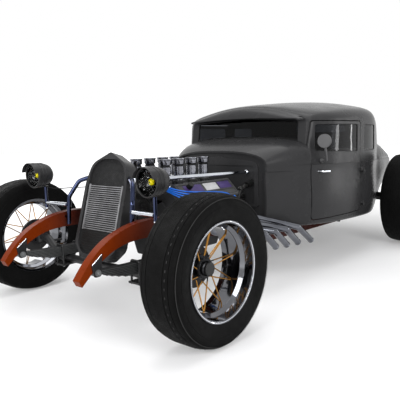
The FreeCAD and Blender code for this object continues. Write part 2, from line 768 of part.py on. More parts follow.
    # spring seats with U bolts over the pack and under the beam
    clamps = None
    clamp_z = pack_z - sag + 7.4
    for sx in (1.0, -1.0):
        for dy in (-60.0, 60.0):
            y = FRONT_AXLE_Y + dy
            x0 = sx * RAIL_X - 31.0
            x1 = sx * RAIL_X + 31.0
            foot = beam_z - beam_r - 13.0
            loop = rod([(x0, y, foot), (x0, y, clamp_z), (x1, y, clamp_z), (x1, y, foot)], 6.0, 12.0)
            clamps = loop if clamps is None else clamps.fuse(loop)
        low_pad = box(sx * RAIL_X - 42, sx * RAIL_X + 42, FRONT_AXLE_Y - 74, FRONT_AXLE_Y + 74,
                      beam_z - beam_r - 10.3, beam_z - beam_r - 0.3)
        clamps = clamps.fuse(low_pad)
    nodes["spring_clamps"] = clamps
    # rear axle: centre housing and tubes
    housing = cyl((-70, REAR_AXLE_Y, REAR_TYRE_R), (70, REAR_AXLE_Y, REAR_TYRE_R), 105.0)
    nose = cyl((0, REAR_AXLE_Y - 230.0, REAR_TYRE_R - 10.0), (0, REAR_AXLE_Y, REAR_TYRE_R - 10.0), 50.0)
    tubes = cyl((-600, REAR_AXLE_Y, REAR_TYRE_R), (600, REAR_AXLE_Y, REAR_TYRE_R), 36.0)
    nodes["rear_axle"] = housing.fuse(nose).fuse(tubes).removeSplitter()
    # rear drums and stub shafts
    hubs = None
    for sx in (1.0, -1.0):
        drum = cyl((sx * 601.0, REAR_AXLE_Y, REAR_TYRE_R), (sx * 655.0, REAR_AXLE_Y, REAR_TYRE_R), 140.0)
        stub = cyl((sx * 600.5, REAR_AXLE_Y, REAR_TYRE_R), (sx * 850.0, REAR_AXLE_Y, REAR_TYRE_R), 21.0)
        piece = drum.fuse(stub)
        hubs = piece if hubs is None else hubs.fuse(piece)
    nodes["rear_drums"] = hubs
    # rear trailing arms and coil-over struts
    arms = None
    for sx in (1.0, -1.0):
        arm = cyl((sx * 402.0, 760.0, 268.0), (sx * 402.0, REAR_AXLE_Y - 44.0, 398.0), 16.0)
        arm = arm.fuse(cyl((sx * 364.3, 760.0, 268.0), (sx * 418.0, 760.0, 268.0), 20.0))
        arm = arm.fuse(pipe_piece((sx * 384.0, REAR_AXLE_Y, REAR_TYRE_R),
                                  (sx * 420.0, REAR_AXLE_Y, REAR_TYRE_R), 48.0, 36.3))
        arms = arm if arms is None else arms.fuse(arm)
    nodes["trailing_arms"] = arms
    # drive shaft and gearbox
    nodes["drive_shaft"] = cyl((0, 180.0, 330.0), (0, REAR_AXLE_Y - 238.0, 388.0), 34.0)
    gear = plate((
        (ENGINE_Y[1] + 0.3, 270.0, 10.0),
        (179.0, 290.0, 10.0),
        (179.0, 360.0, 10.0),
        (FIREWALL_Y - 8.0, 360.0, 10.0),
        (FIREWALL_Y - 8.0, 490.0, 10.0),
        (ENGINE_Y[1] + 0.3, 520.0, 10.0),
    ), side_plane(-85.0), (170, 0, 0))
    nodes["gearbox"] = gear
    return nodes


def bank(point):
    """Point in the left bank's own frame (across, along y, out) to car space."""
    a, y, d = point
    t = math.radians(BANK_ANGLE)
    return V(d * math.sin(t) + a * math.cos(t), y, CRANK_Z + d * math.cos(t) - a * math.sin(t))


def bank_slab(a0, a1, y0, y1, d0, d1, r):
    """Rounded slab lying in the left bank."""
    pts = ((a0, d0, r), (a1, d0, r), (a1, d1, r), (a0, d1, r))
    wire = outline(pts, lambda a, d: bank((a, y0, d)))
    return Part.Face(wire).extrude(V(0, y1 - y0, 0))


def engine_nodes():
    """Vee engine with eight intake trumpets, covers, leads and pipes."""
    nodes = {}
    y0, y1 = ENGINE_Y
    block_pts = (
        (-120.0, 250.0, 20.0),
        (120.0, 250.0, 20.0),
        (150.0, 330.0, 30.0),
        (150.0, 415.0, 20.0),
        (225.0, 490.0),
        (115.0, 600.0),
        (60.0, 575.0, 20.0),
        (-60.0, 575.0, 20.0),
        (-115.0, 600.0),
        (-225.0, 490.0),
        (-150.0, 415.0, 20.0),
        (-150.0, 330.0, 30.0),
    )
    block = plate(block_pts, front_plane(y0 + 20.0), (0, y1 - y0 - 20.0, 0))
    reach = RAIL_X - RAIL_W / 2 - 0.3
    nodes["engine_block"] = block.fuse(cyl((-reach, -780.0, 402.0), (reach, -780.0, 402.0), 18.0))
    head = bank_slab(-74.0, 74.0, y0 + 30.0, y1 - 12.0, 223.0, 330.0, 12.0)
    nodes["cylinder_heads"] = head.fuse(mirror(head))
    head = head.copy()
    cover = bank_slab(-70.0, 76.0, y0 + 12.0, y1 - 2.0, 330.6, 384.0, 22.0)
    rib = bank_slab(-80.0, 84.0, y0 + 6.0, y1 + 4.0, 330.6, 340.0, 3.0)
    cover = cover.fuse(rib).removeSplitter()
    nodes["valve_covers"] = cover.fuse(mirror(cover))
    cap = Part.makeCylinder(19.0, 32.0, bank((-22.0, -962.0, 384.4)),
                            bank((0, 0, 1.0)).sub(bank((0, 0, 0))))
    nodes["filler_cap"] = cap
    # intake manifold in the valley, with eight runners
    man = plate(((-102.4, 608.0), (102.4, 608.0), (148.4, 654.0), (148.4, 668.0, 6.0), (-148.4, 668.0, 6.0),
                 (-148.4, 654.0)), front_plane(y0 + 32.0), (0, 500, 0))
    stacks = None
    for i in range(4):
        for sx, shift in ((1.0, 0.0), (-1.0, -18.0)):
            y = STACK_FIRST_Y + STACK_PITCH * i + shift
            x = sx * STACK_X
            stand = cyl((x, y, 660.0), (x, y, 720.7), 27.0)
            man = man.fuse(stand)
            wire = outline(((27.0, 721.0), (27.0, 838.0, 20.0), (40.0, 854.0), (40.0, 860.0), (34.0, 860.0),
                            (22.5, 842.0, 20.0), (22.5, 721.0)), lambda a, b: V(x + a, y, b))
            horn = Part.Face(wire).revolve(V(x, y, 0), V(0, 0, 1), 360)
            stacks = horn if stacks is None else stacks.fuse(horn)
    nodes["intake_manifold"] = man
    nodes["velocity_stacks"] = stacks
    # front drive: pulley, pump body, distributor
    front = cyl((0, y0 - 26.0, CRANK_Z), (0, y0 - 1.0, CRANK_Z), 78.0)
    front = front.fuse(cyl((0, y0 - 10.0, CRANK_Z), (0, y0 + 19.5, CRANK_Z), 40.0))
    nodes["crank_pulley"] = front
    pump = cyl((0, y0 - 20.0, 560.0), (0, y0 + 19.5, 560.0), 55.0)
    nodes["water_pump"] = pump
    dist = cyl((0, y0 + 74.0, 668.3), (0, y0 + 74.0, 700.0), 30.0)
    dist = dist.fuse(cyl((0, y0 + 74.0, 700.0), (0, y0 + 74.0, 735.0), 40.0))
    nodes["distributor"] = dist
    # exhaust: four pipes a side, turned down at their tips
    pipes = None
    # port y, bend y, bend z, tip y, tip z
    runs = (
        (-1000.0, -665.0, 399.0, -530.0, 287.0),
        (-885.0, -541.0, 391.0, -396.0, 276.0),
        (-770.0, -409.0, 384.0, -254.0, 269.0),
        (-655.0, -255.0, 374.0, -74.0, 254.0),
    )
    for i, (port_y, bend_y, bend_z, tip_y, tip_z) in enumerate(runs):
        pts = [
            (250.0, port_y, 552.0),
            (378.0, port_y + 8.0, 552.0),
            (402.0 + 8.0 * i, port_y + 95.0, 420.0 + 18.0 * i),
            (600.0, bend_y, bend_z),
            (600.0, tip_y, tip_z),
        ]
        mouth = V(*pts[-1])
        back = V(*pts[-2]).sub(mouth).normalize().multiply(PIPE_TIP_LENGTH)
        sleeve = cyl(tuple(mouth.add(back)), tuple(mouth), PIPE_TIP_BORE_R)
        pipe = tube(pts, PIPE_R, PIPE_BORE_R, 34.0).cut(sleeve)
        pipes = pipe if pipes is None else pipes.fuse(pipe)
    # plug leads: from the cap round the front of each bank to a boot on the head
    leads = None
    for i in range(4):
        plug_y = -943.0 + 115.0 * i
        boot_d = 310.0
        route = [(24.0, y0 + 54.0, 706.0 + 8.0 * i), (84.0, y0 - 22.0 + 4.0 * i, 706.0 + 8.0 * i)]
        for a, y, d in (
            (54.0 - 12.0 * i, y0 - 22.0 + 4.0 * i, 396.0),
            (70.0 - 10.0 * i, plug_y - 92.0, 393.0),
            (104.0, plug_y - 30.0, 376.0),
            (126.0, plug_y, 326.0),
            (98.0, plug_y, boot_d),
        ):
            p = bank((a, y, d))
            route.append((p.x, p.y, p.z))
        wire = rod(route, 3.6, 14.0).cut(dist)
        boot = cyl(tuple(bank((74.4, plug_y, boot_d))), route[-1], 8.5)
        piece = wire.fuse(boot)
        leads = piece if leads is None else leads.fuse(piece)
    nodes["leads_left"] = leads
    nodes["leads_right"] = mirror(leads)
    head.translate(V(0.4, 0, 0))
    pipes = pipes.cut(head)
    nodes["exhaust_left"] = pipes
    nodes["exhaust_right"] = mirror(pipes)
    return nodes


def nose_plane(w):
    """Plane of the grille, w millimetres in front of its own face."""
    t = math.radians(GRILLE_LEAN)
    y0, z0 = GRILLE_FOOT
    up = V(0, math.sin(t), math.cos(t))
    out = V(0, -math.cos(t), math.sin(t))
    base = V(0, y0, z0).add(V(out).multiply(w))
    return lambda a, b: V(a, base.y + up.y * b, base.z + up.z * b)


def nose_push(depth):
    t = math.radians(GRILLE_LEAN)
    return (0, math.cos(t) * depth, -math.sin(t) * depth)


def nose_nodes():
    """Grille shell, bars, radiator, hoop, lamps."""
    nodes = {}
    shell_pts = (
        (-108.0, 8.0, 60.0), (108.0, 8.0, 60.0), (186.0, 84.0, 60.0), (182.0, 450.0, 200.0),
        (150.0, 563.0, 90.0), (0.0, 633.0, 30.0), (-150.0, 563.0, 90.0), (-182.0, 450.0, 200.0),
        (-186.0, 84.0, 60.0),
    )
    hole_pts = (
        (-110.0, 34.0, 60.0), (110.0, 34.0, 60.0), (163.0, 92.0, 60.0), (160.0, 420.0, 150.0),
        (146.0, 590.0, 118.0), (-146.0, 590.0, 118.0), (-160.0, 420.0, 150.0), (-163.0, 92.0, 60.0),
    )
    shell = plate(shell_pts, nose_plane(0.0), nose_push(80.0))
    shell = shell.cut(plate(hole_pts, nose_plane(10.0), nose_push(140.0)))
    nodes["grille_shell"] = shell
    bars = None
    strips = (-150.0, 138.0)
    for a in strips:
        piece = plate(((a, 172.0), (a + 12.0, 172.0), (a + 12.0, 440.0), (a, 440.0)),
                      nose_plane(-5.0), nose_push(8.0))
        bars = piece if bars is None else bars.fuse(piece)
    for i in range(22):
        b = 175.0 + 12.05 * i
        bars = bars.fuse(plate(((-144.0, b), (144.0, b), (144.0, b + 5.0), (-144.0, b + 5.0)),
                               nose_plane(-6.0), nose_push(7.0)))
    nodes["grille_bars"] = bars.removeSplitter()
    core_pts = [(a - math.copysign(0.3, a), b + (0.3 if b < 200.0 else -0.3), r) for a, b, r in hole_pts]
    nodes["radiator"] = plate(core_pts, nose_plane(-13.3), nose_push(54.0))
    # hoop beside the shell, lamp bars and posts
    hoop_x = 283.0
    hoop_y = -1450.0
    hoop = None
    lamp_x = 506.0
    lamp_y = -1545.0
    lamp_z = 778.0
    post_x = 485.0
    post_y = -1470.0
    for sx in (1.0, -1.0):
        stay = rod([(sx * hoop_x, hoop_y - 4.0, 485.0), (sx * hoop_x, hoop_y + 8.0, 650.0),
                    (sx * 240.0, -1395.0, 745.0), (sx * 150.0, -1345.0, 775.0)], 13.0, 50.0)
        wide_shell = shell.copy()
        wide_shell.translate(V(sx * 0.3, 0, 0))
        stay = biggest(stay.cut(wide_shell))
        lug = cyl((sx * hoop_x, hoop_y, 530.0), (sx * (RAIL_X - RAIL_W / 2 - 0.3), hoop_y, 530.0), 9.0)
        arm = cyl((sx * hoop_x, hoop_y, 603.0), (sx * post_x, post_y, 603.0), 12.0)
        post = cyl((sx * post_x, post_y, 575.0), (sx * post_x, post_y, lamp_z - 74.6), 10.0)
        piece = stay.fuse(lug).fuse(arm).fuse(post)
        hoop = piece if hoop is None else hoop.fuse(piece)
    nodes["nose_hoop"] = hoop
    bowls = None
    lens = None
    bulbs = None
    for sx in (1.0, -1.0):
        x = sx * lamp_x
        y = lamp_y
        z = lamp_z
        wire = outline(((70.0, 0.0), (74.0, 0.0), (78.0, 4.0), (78.0, 14.0), (75.0, 18.0), (75.0, 62.0, 30.0),
                        (62.0, 106.0, 50.0), (28.0, 133.0, 26.0), (0.0, 136.0), (0.0, 131.0), (26.0, 128.0, 22.0),
                        (58.0, 102.0, 46.0), (70.0, 62.0, 26.0)),
                       lambda a, b: V(x + a, y + b, z))
        bowl = Part.Face(wire).revolve(V(x, y, z), V(0, 1, 0), 360)
        brow = pipe_piece((x, y - 26.0, z), (x, y + 6.0, z), 77.6, 74.6)
        brow = brow.common(box(x - 100, x + 100, y - 60, y + 60, z + 18.0, z + 100.0))
        socket = cyl((x, y + 50.3, z), (x, y + 130.0, z), 9.0)
        bowl = bowl.fuse(socket).fuse(brow)
        foot = cyl((sx * post_x, post_y, z - 74.3), (sx * post_x, post_y, z - 69.0), 15.0)
        bowl = bowl.fuse(foot).removeSplitter()
        bowls = bowl if bowls is None else bowls.fuse(bowl)
        disc = cyl((x, y + 8.0, z), (x, y + 12.0, z), 69.8)
        lens = disc if lens is None else lens.fuse(disc)
        bulb = Part.makeSphere(17.0, V(x, y + 38.0, z)).cut(cyl((x, y + 50.0, z), (x, y + 80.0, z), 20.0))
        bulbs = bulb if bulbs is None else bulbs.fuse(bulb)
    nodes["headlight_bowls"] = bowls
    nodes["headlight_lenses"] = lens
    nodes["headlight_bulbs"] = bulbs
    # support rods from the hoop to the cowl
    rods = None
    for sx in (1.0, -1.0):
        piece = cyl((sx * 206.0, -1374.0, 760.0), (sx * 262.0, FIREWALL_Y + 11.4, 742.0), 11.0)
        rods = piece if rods is None else rods.fuse(piece)
    nodes["support_rods"] = rods
    # top hose from the radiator to the intake valley
    nodes["radiator_hose"] = rod([(40.0, -1336.0, 712.0), (40.0, -1262.0, 706.0), (40.0, -1170.0, 640.0),
                                  (40.0, ENGINE_Y[0] + 31.6, 640.0)], 19.0, 60.0).cut(nodes["radiator"])
    return nodes


def wheel_nodes():
    """Tyres, rims and steering knuckles."""
    nodes = {}
    cx = FRONT_TYRE_X
    for name, sx in SIDES:
        def at(points):
            return turned([(sx * p[0],) + tuple(p[1:]) for p in points], sx * cx, FRONT_AXLE_Y, FRONT_TYRE_R)
        tyre = at((
            (-92.0, 232.0, 4.0), (-98.0, 246.0, 10.0), (-115.0, 305.0, 50.0), (-96.0, 352.0, 22.0),
            (-60.0, 366.5, 60.0), (0.0, 368.0), (60.0, 366.5, 60.0), (96.0, 352.0, 22.0), (115.0, 305.0, 50.0),
            (98.0, 246.0, 10.0), (92.0, 232.0, 4.0), (80.0, 232.0, 4.0), (86.0, 250.0, 10.0),
            (100.0, 303.0, 40.0), (84.0, 340.0, 20.0), (0.0, 354.0, 200.0), (-84.0, 340.0, 20.0),
            (-100.0, 303.0, 40.0), (-86.0, 250.0, 10.0), (-80.0, 232.0, 4.0),
        ))
        nodes["tyre_front_" + name] = tyre
        rim = at((
            (-103.0, 242.0), (-97.6, 242.0), (-92.6, 231.6), (-60.0, 228.0, 6.0), (-40.0, 212.0, 6.0),
            (20.0, 212.0, 6.0), (40.0, 228.0, 6.0), (92.6, 231.6), (97.6, 242.0), (103.0, 242.0, 2.0),
            (99.0, 228.0, 4.0), (52.0, 222.0, 4.0), (34.0, 204.0, 4.0), (-44.0, 204.0, 4.0),
            (-62.0, 222.0, 4.0), (-97.0, 226.0, 4.0),
        ))
        # hub barrel on the spindle
        hub = at(((-58.0, 21.05), (-58.0, 44.0, 3.0), (-10.0, 36.0, 6.0), (-4.0, 30.0), (-4.0, 21.05)))
        flange = at(((-56.0, 43.0), (-56.0, 62.0, 2.0), (-48.0, 62.0, 2.0), (-48.0, 40.0)))
        hub = hub.fuse(flange)
        flange2 = at(((-22.0, 34.0), (-22.0, 50.0, 2.0), (-15.0, 50.0, 2.0), (-15.0, 34.0)))
        hub = hub.fuse(flange2).removeSplitter()
        spokes = None
        count = 20
        for i in range(count):
            ang = 2.0 * math.pi * i / count
            twist = math.radians(26.0) * (1 if i % 2 else -1)
            hub_r = 47.0
            off = -18.5 if i % 2 else -52.0
            if i % 2 == 0:
                hub_r = 59.0
            p = (sx * (cx + off), FRONT_AXLE_Y + hub_r * math.sin(ang), FRONT_TYRE_R + hub_r * math.cos(ang))
            end = 203.0
            q = (sx * (cx - 8.0), FRONT_AXLE_Y + end * math.sin(ang + twist),
                 FRONT_TYRE_R + end * math.cos(ang + twist))
            wire = cyl(p, q, 3.2)
            spokes = wire if spokes is None else spokes.fuse(wire)
        cap = at(((-3.7, 0.0), (-3.7, 30.0, 1.0), (6.0, 30.0, 4.0), (12.0, 16.0, 3.0), (12.0, 0.0)))
        nodes["rim_front_" + name] = rim
        nodes["spokes_front_" + name] = spokes.fuse(hub)
        nodes["cap_front_" + name] = cap
    # rear wheels: wide smooth tyres
    cx = REAR_TYRE_X
    for name, sx in SIDES:
        def at(points):
            return turned([(sx * p[0],) + tuple(p[1:]) for p in points], sx * cx, REAR_AXLE_Y, REAR_TYRE_R)
        nodes["tyre_rear_" + name] = at((
            (-148.0, 220.0, 4.0), (-154.0, 236.0, 10.0), (-170.0, 320.0, 60.0), (-152.0, 384.0, 24.0),
            (-90.0, 398.5, 90.0), (0.0, 400.0), (90.0, 398.5, 90.0), (152.0, 384.0, 24.0), (170.0, 320.0, 60.0),
            (154.0, 236.0, 10.0), (148.0, 220.0, 4.0), (134.0, 220.0, 4.0), (140.0, 240.0, 10.0),
            (154.0, 318.0, 50.0), (138.0, 370.0, 20.0), (0.0, 384.0, 200.0), (-138.0, 370.0, 20.0),
            (-154.0, 318.0, 50.0), (-140.0, 240.0, 10.0), (-134.0, 220.0, 4.0),
        ))
        nodes["rim_rear_" + name] = at((
            (-159.0, 232.0), (-154.2, 232.0), (-149.0, 219.6), (-80.0, 214.0, 6.0), (-60.0, 198.0, 6.0),
            (60.0, 198.0, 6.0), (80.0, 214.0, 6.0), (149.0, 219.6), (154.2, 232.0), (159.0, 232.0, 2.0),
            (154.0, 214.0, 4.0), (90.0, 208.0, 4.0), (70.0, 190.0, 4.0), (-66.0, 190.0, 4.0),
            (-86.0, 208.0, 4.0), (-154.0, 214.0, 4.0),
        ))
        hub = at(((-60.0, 21.05), (-60.0, 60.0, 3.0), (30.0, 44.0, 6.0), (40.0, 34.0), (40.0, 21.05)))
        spokes = None
        count = 20
        for i in range(count):
            ang = 2.0 * math.pi * i / count
            twist = math.radians(26.0) * (1 if i % 2 else -1)
            off = 12.0 if i % 2 else -40.0
            hub_r = 44.0 if i % 2 else 52.0
            p = (sx * (cx + off), REAR_AXLE_Y + hub_r * math.sin(ang), REAR_TYRE_R + hub_r * math.cos(ang))
            end = 188.4
            q = (sx * (cx + 10.0), REAR_AXLE_Y + end * math.sin(ang + twist),
                 REAR_TYRE_R + end * math.cos(ang + twist))
            wire = cyl(p, q, 3.6)
            spokes = wire if spokes is None else spokes.fuse(wire)
        nodes["spokes_rear_" + name] = spokes.fuse(hub)
        nodes["cap_rear_" + name] = at(((40.3, 24.0), (40.3, 34.0, 1.0), (68.0, 34.0, 4.0), (80.0, 16.0, 3.0),
                                        (80.0, 0.0), (64.0, 0.0), (64.0, 24.0)))
    # knuckles: fork, kingpin, spindle, steering arm
    for name, sx in SIDES:
        x = sx * KINGPIN_X
        y = FRONT_AXLE_Y
        z = 366.0
        pin = cyl((x, y, z - 52), (x, y, z + 52), 13.0)
        upper = box(-30, 60, -26, 26, 36, 52)
        lower = box(-30, 60, -26, 26, -52, -36)
        web = box(40, 60, -26, 26, -52, 52)
        fork = upper.fuse(lower).fuse(web)
        if sx < 0:
            fork = mirror(fork)
        fork.translate(V(x, y, z))
        spindle = cyl((x + sx * 55.0, y, FRONT_TYRE_R), (x + sx * 145.0, y, FRONT_TYRE_R), 21.0)
        back = cyl((x + sx * 60.0, y, FRONT_TYRE_R), (x + sx * 72.0, y, FRONT_TYRE_R), 105.0)
        arm = box(-12, 12, 20, 150, -50, -38)
        arm.translate(V(x, y, z))
        nodes["knuckle_" + name] = fork.fuse(pin).fuse(spindle).fuse(back).fuse(arm).removeSplitter()
    return nodes


def cabin_nodes(body_solid):
    """Seat, dash, steering column and wheel, handles, mirror, lamps."""
    nodes = {}
    seat_z = FLOOR_Z + 10.3
    cushion_pts = ((470.0, seat_z, 30.0), (1000.0, seat_z, 20.0), (1000.0, 530.0, 30.0), (470.0, 560.0, 50.0))
    cushion = plate(cushion_pts, side_plane(-480.0), (960, 0, 0))
    nodes["seat_cushion"] = cushion.cut(box(-125, 125, 400, 1100, 380, 475))
    back = plate(((1000.3, 535.0, 20.0), (1127.7, 535.0, 20.0), (1127.7, 880.0, 35.0), (1050.0, 885.0, 40.0)),
                 side_plane(-480.0), (960, 0, 0))
    nodes["seat_back"] = back
    dash = plate(((-150.0, 700.0, 10.0), (-75.0, 700.0, 20.0), (-62.0, 800.0, 30.0), (-80.0, 872.0, 20.0),
                  (-150.0, 872.0, 10.0)), side_plane(-560.0), (1120, 0, 0))
    dash = dash.common(tub_solid(SKIN + 0.4, TUB[:6]).fuse(cowl_solid(SKIN + 0.4, 60.0)))
    hole = cyl(column_point(150.0), column_point(620.0), COLUMN_HOLE_R)
    nodes["dashboard"] = dash.cut(hole)
    nodes["steering_column"] = pipe_piece(column_point(0.0), column_point(600.0), COLUMN_R, COLUMN_BORE_R)
    nodes_axis = V(*COLUMN_TOP).sub(V(*COLUMN_LOW)).normalize()
    centre = V(*column_point(660.0))
    ring = Part.makeTorus(165.0, 12.0, centre, nodes_axis)
    shaft = cyl(column_point(-50.0), column_point(670.0), COLUMN_SHAFT_R)
    hubp = cyl(column_point(640.0), column_point(672.0), 34.0)
    spokes = None
    side_dir = V(1, 0, 0)
    up_dir = nodes_axis.cross(side_dir)
    for i in range(3):
        a = math.radians(90.0 + 120.0 * i)
        d = V(side_dir).multiply(math.cos(a)).add(V(up_dir).multiply(math.sin(a)))
        end = centre.add(d.multiply(158.0))
        piece = cyl((centre.x, centre.y, centre.z), (end.x, end.y, end.z), 7.0)
        spokes = piece if spokes is None else spokes.fuse(piece)
    nodes["steering_wheel"] = ring.fuse(spokes).fuse(hubp).fuse(shaft)
    # steering box on the left rail
    case = box(262.0, 313.7, -625.0, -545.0, 350.0, 436.0)
    case = case.fuse(cyl((298.0, -590.0, 430.0), column_point(-70.0), 12.0))
    case = case.fuse(Part.makeSphere(19.0, V(*column_point(-70.0))))
    nodes["steering_box"] = case
    skin = body_solid.copy()
    skin.translate(V(SEAT_GAP, 0, 0))
    for name, sx in SIDES:
        grip = rod([(600.0, 18.0, 731.0), (644.0, 18.0, 731.0), (654.0, 96.0, 728.0)], 7.0, 12.0)
        grip = biggest(grip.cut(skin))
        nodes["handle_" + name] = grip if sx > 0 else mirror(grip)
    # door mirror: round head on a swan neck arm
    foot = cyl((585.0, 70.0, 806.0), (612.0, 70.0, 800.0), 15.0)
    bends = ((604.0, 70.0, 801.0), (648.0, 58.0, 806.0), (676.0, -12.0, 868.0), (680.0, -34.0, 915.0))
    neck = rod(bends, 9.0, 24.0)
    head = cyl((682.0, -48.0, 944.0), (679.0, -34.0, 944.0), 47.0)
    nodes["mirror_left"] = biggest(foot.fuse(neck).fuse(head).cut(skin))
    lamp = None
    for sx in (1.0, -1.0):
        piece = cyl((sx * 330.0, 1792.3, 640.0), (sx * 330.0, 1812.0, 640.0), 38.0)
        lamp = piece if lamp is None else lamp.fuse(piece)
    nodes["tail_lamps"] = lamp
    return nodes


# Nodes made of several pieces that are fixed to one another.
JOINED = (
    ("frame", ("frame_rail_left", "frame_rail_right", "front_crossmember", "middle_crossmember",
               "rear_crossmember")),
    ("exhaust_pipes", ("exhaust_left", "exhaust_right")),
    ("plug_leads", ("leads_left", "leads_right")),
    ("distributor", ("distributor", "filler_cap")),
    ("front_drive", ("crank_pulley", "water_pump")),
    ("fixed_glass", ("windshield", "quarter_glass", "rear_glass")),
    ("floor_pan", ("floor_pan", "drive_tunnel", "rear_bulkhead")),
    ("nose_stays", ("nose_hoop", "support_rods")),
    ("spring_hangers", ("spring_hangers", "spring_clamps")),
    ("rear_axle", ("rear_axle", "rear_drums")),
    ("drive_line", ("gearbox", "drive_shaft")),
    ("steering_column", ("steering_column", "steering_box")),
    ("roof", ("roof", "visor")),
    ("spokes_front_left", ("spokes_front_left", "cap_front_left")),
    ("spokes_front_right", ("spokes_front_right", "cap_front_right")),
    ("spokes_rear_left", ("spokes_rear_left", "cap_rear_left")),
    ("spokes_rear_right", ("spokes_rear_right", "cap_rear_right")),
)

os.makedirs("parts", exist_ok=True)
for old in os.listdir("parts"):
    os.remove("parts/" + old)
skins, body_solid, cab_in = body_nodes()
everything = dict(skins)
everything.update(panel_nodes(skins, cab_in))
everything.update(chassis_nodes())
everything.update(engine_nodes())
everything.update(nose_nodes())
everything.update(wheel_nodes())
everything.update(cabin_nodes(body_solid))
for node, pieces in JOINED:
    shapes = [everything.pop(p) for p in pieces]
    everything[node] = shapes[0].multiFuse(shapes[1:])
for node, shape in everything.items():
    save(node, shape)
    print(node, len(shape.Solids), shape.isValid(), round(shape.Volume / 1e6, 2))
print(len(everything), "nodes")
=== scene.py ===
"""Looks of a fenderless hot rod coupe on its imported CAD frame.

Metres, +X to the car's left, -Y to its nose, +Z up, floor at Z = 0.
"""

import math

import bmesh
import bpy
from mathutils import Matrix, Vector


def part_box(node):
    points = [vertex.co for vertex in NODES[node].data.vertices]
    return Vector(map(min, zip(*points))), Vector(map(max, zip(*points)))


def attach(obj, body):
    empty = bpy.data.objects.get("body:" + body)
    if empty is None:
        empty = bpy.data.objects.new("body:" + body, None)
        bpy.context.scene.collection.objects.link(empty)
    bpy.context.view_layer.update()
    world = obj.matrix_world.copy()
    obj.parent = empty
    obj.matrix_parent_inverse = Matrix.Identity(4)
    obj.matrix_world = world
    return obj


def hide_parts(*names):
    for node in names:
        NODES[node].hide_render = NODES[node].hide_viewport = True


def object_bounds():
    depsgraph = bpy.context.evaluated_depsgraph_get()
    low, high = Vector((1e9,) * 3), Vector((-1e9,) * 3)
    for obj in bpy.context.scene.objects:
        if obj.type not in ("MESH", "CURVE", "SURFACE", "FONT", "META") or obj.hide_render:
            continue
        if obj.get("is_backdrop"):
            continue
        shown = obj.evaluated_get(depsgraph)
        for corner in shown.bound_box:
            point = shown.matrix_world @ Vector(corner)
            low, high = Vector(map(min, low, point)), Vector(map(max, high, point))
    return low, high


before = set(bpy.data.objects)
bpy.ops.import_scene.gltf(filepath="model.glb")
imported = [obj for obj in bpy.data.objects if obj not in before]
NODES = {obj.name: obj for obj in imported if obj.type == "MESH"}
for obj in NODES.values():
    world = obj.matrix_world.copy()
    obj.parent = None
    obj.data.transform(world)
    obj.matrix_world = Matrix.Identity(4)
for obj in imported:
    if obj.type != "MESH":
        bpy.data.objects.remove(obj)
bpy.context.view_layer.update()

SIDES = (("left", 1.0), ("right", -1.0))
LEFT = Vector((1.0, 0.0, 0.0))
FRONT = Vector((0.0, -1.0, 0.0))
REAR = Vector((0.0, 1.0, 0.0))
UP = Vector((0.0, 0.0, 1.0))
DOWN = Vector((0.0, 0.0, -1.0))


# ------------------------------------------------------------------ colours
def linear(level):
    """Scene value of an 8-bit screen level."""
    c = level / 255.0
    return c / 12.92 if c <= 0.04045 else ((c + 0.055) / 1.055) ** 2.4


def tone(r, g, b):
    """Colour from screen levels."""
    return (linear(r), linear(g), linear(b), 1.0)


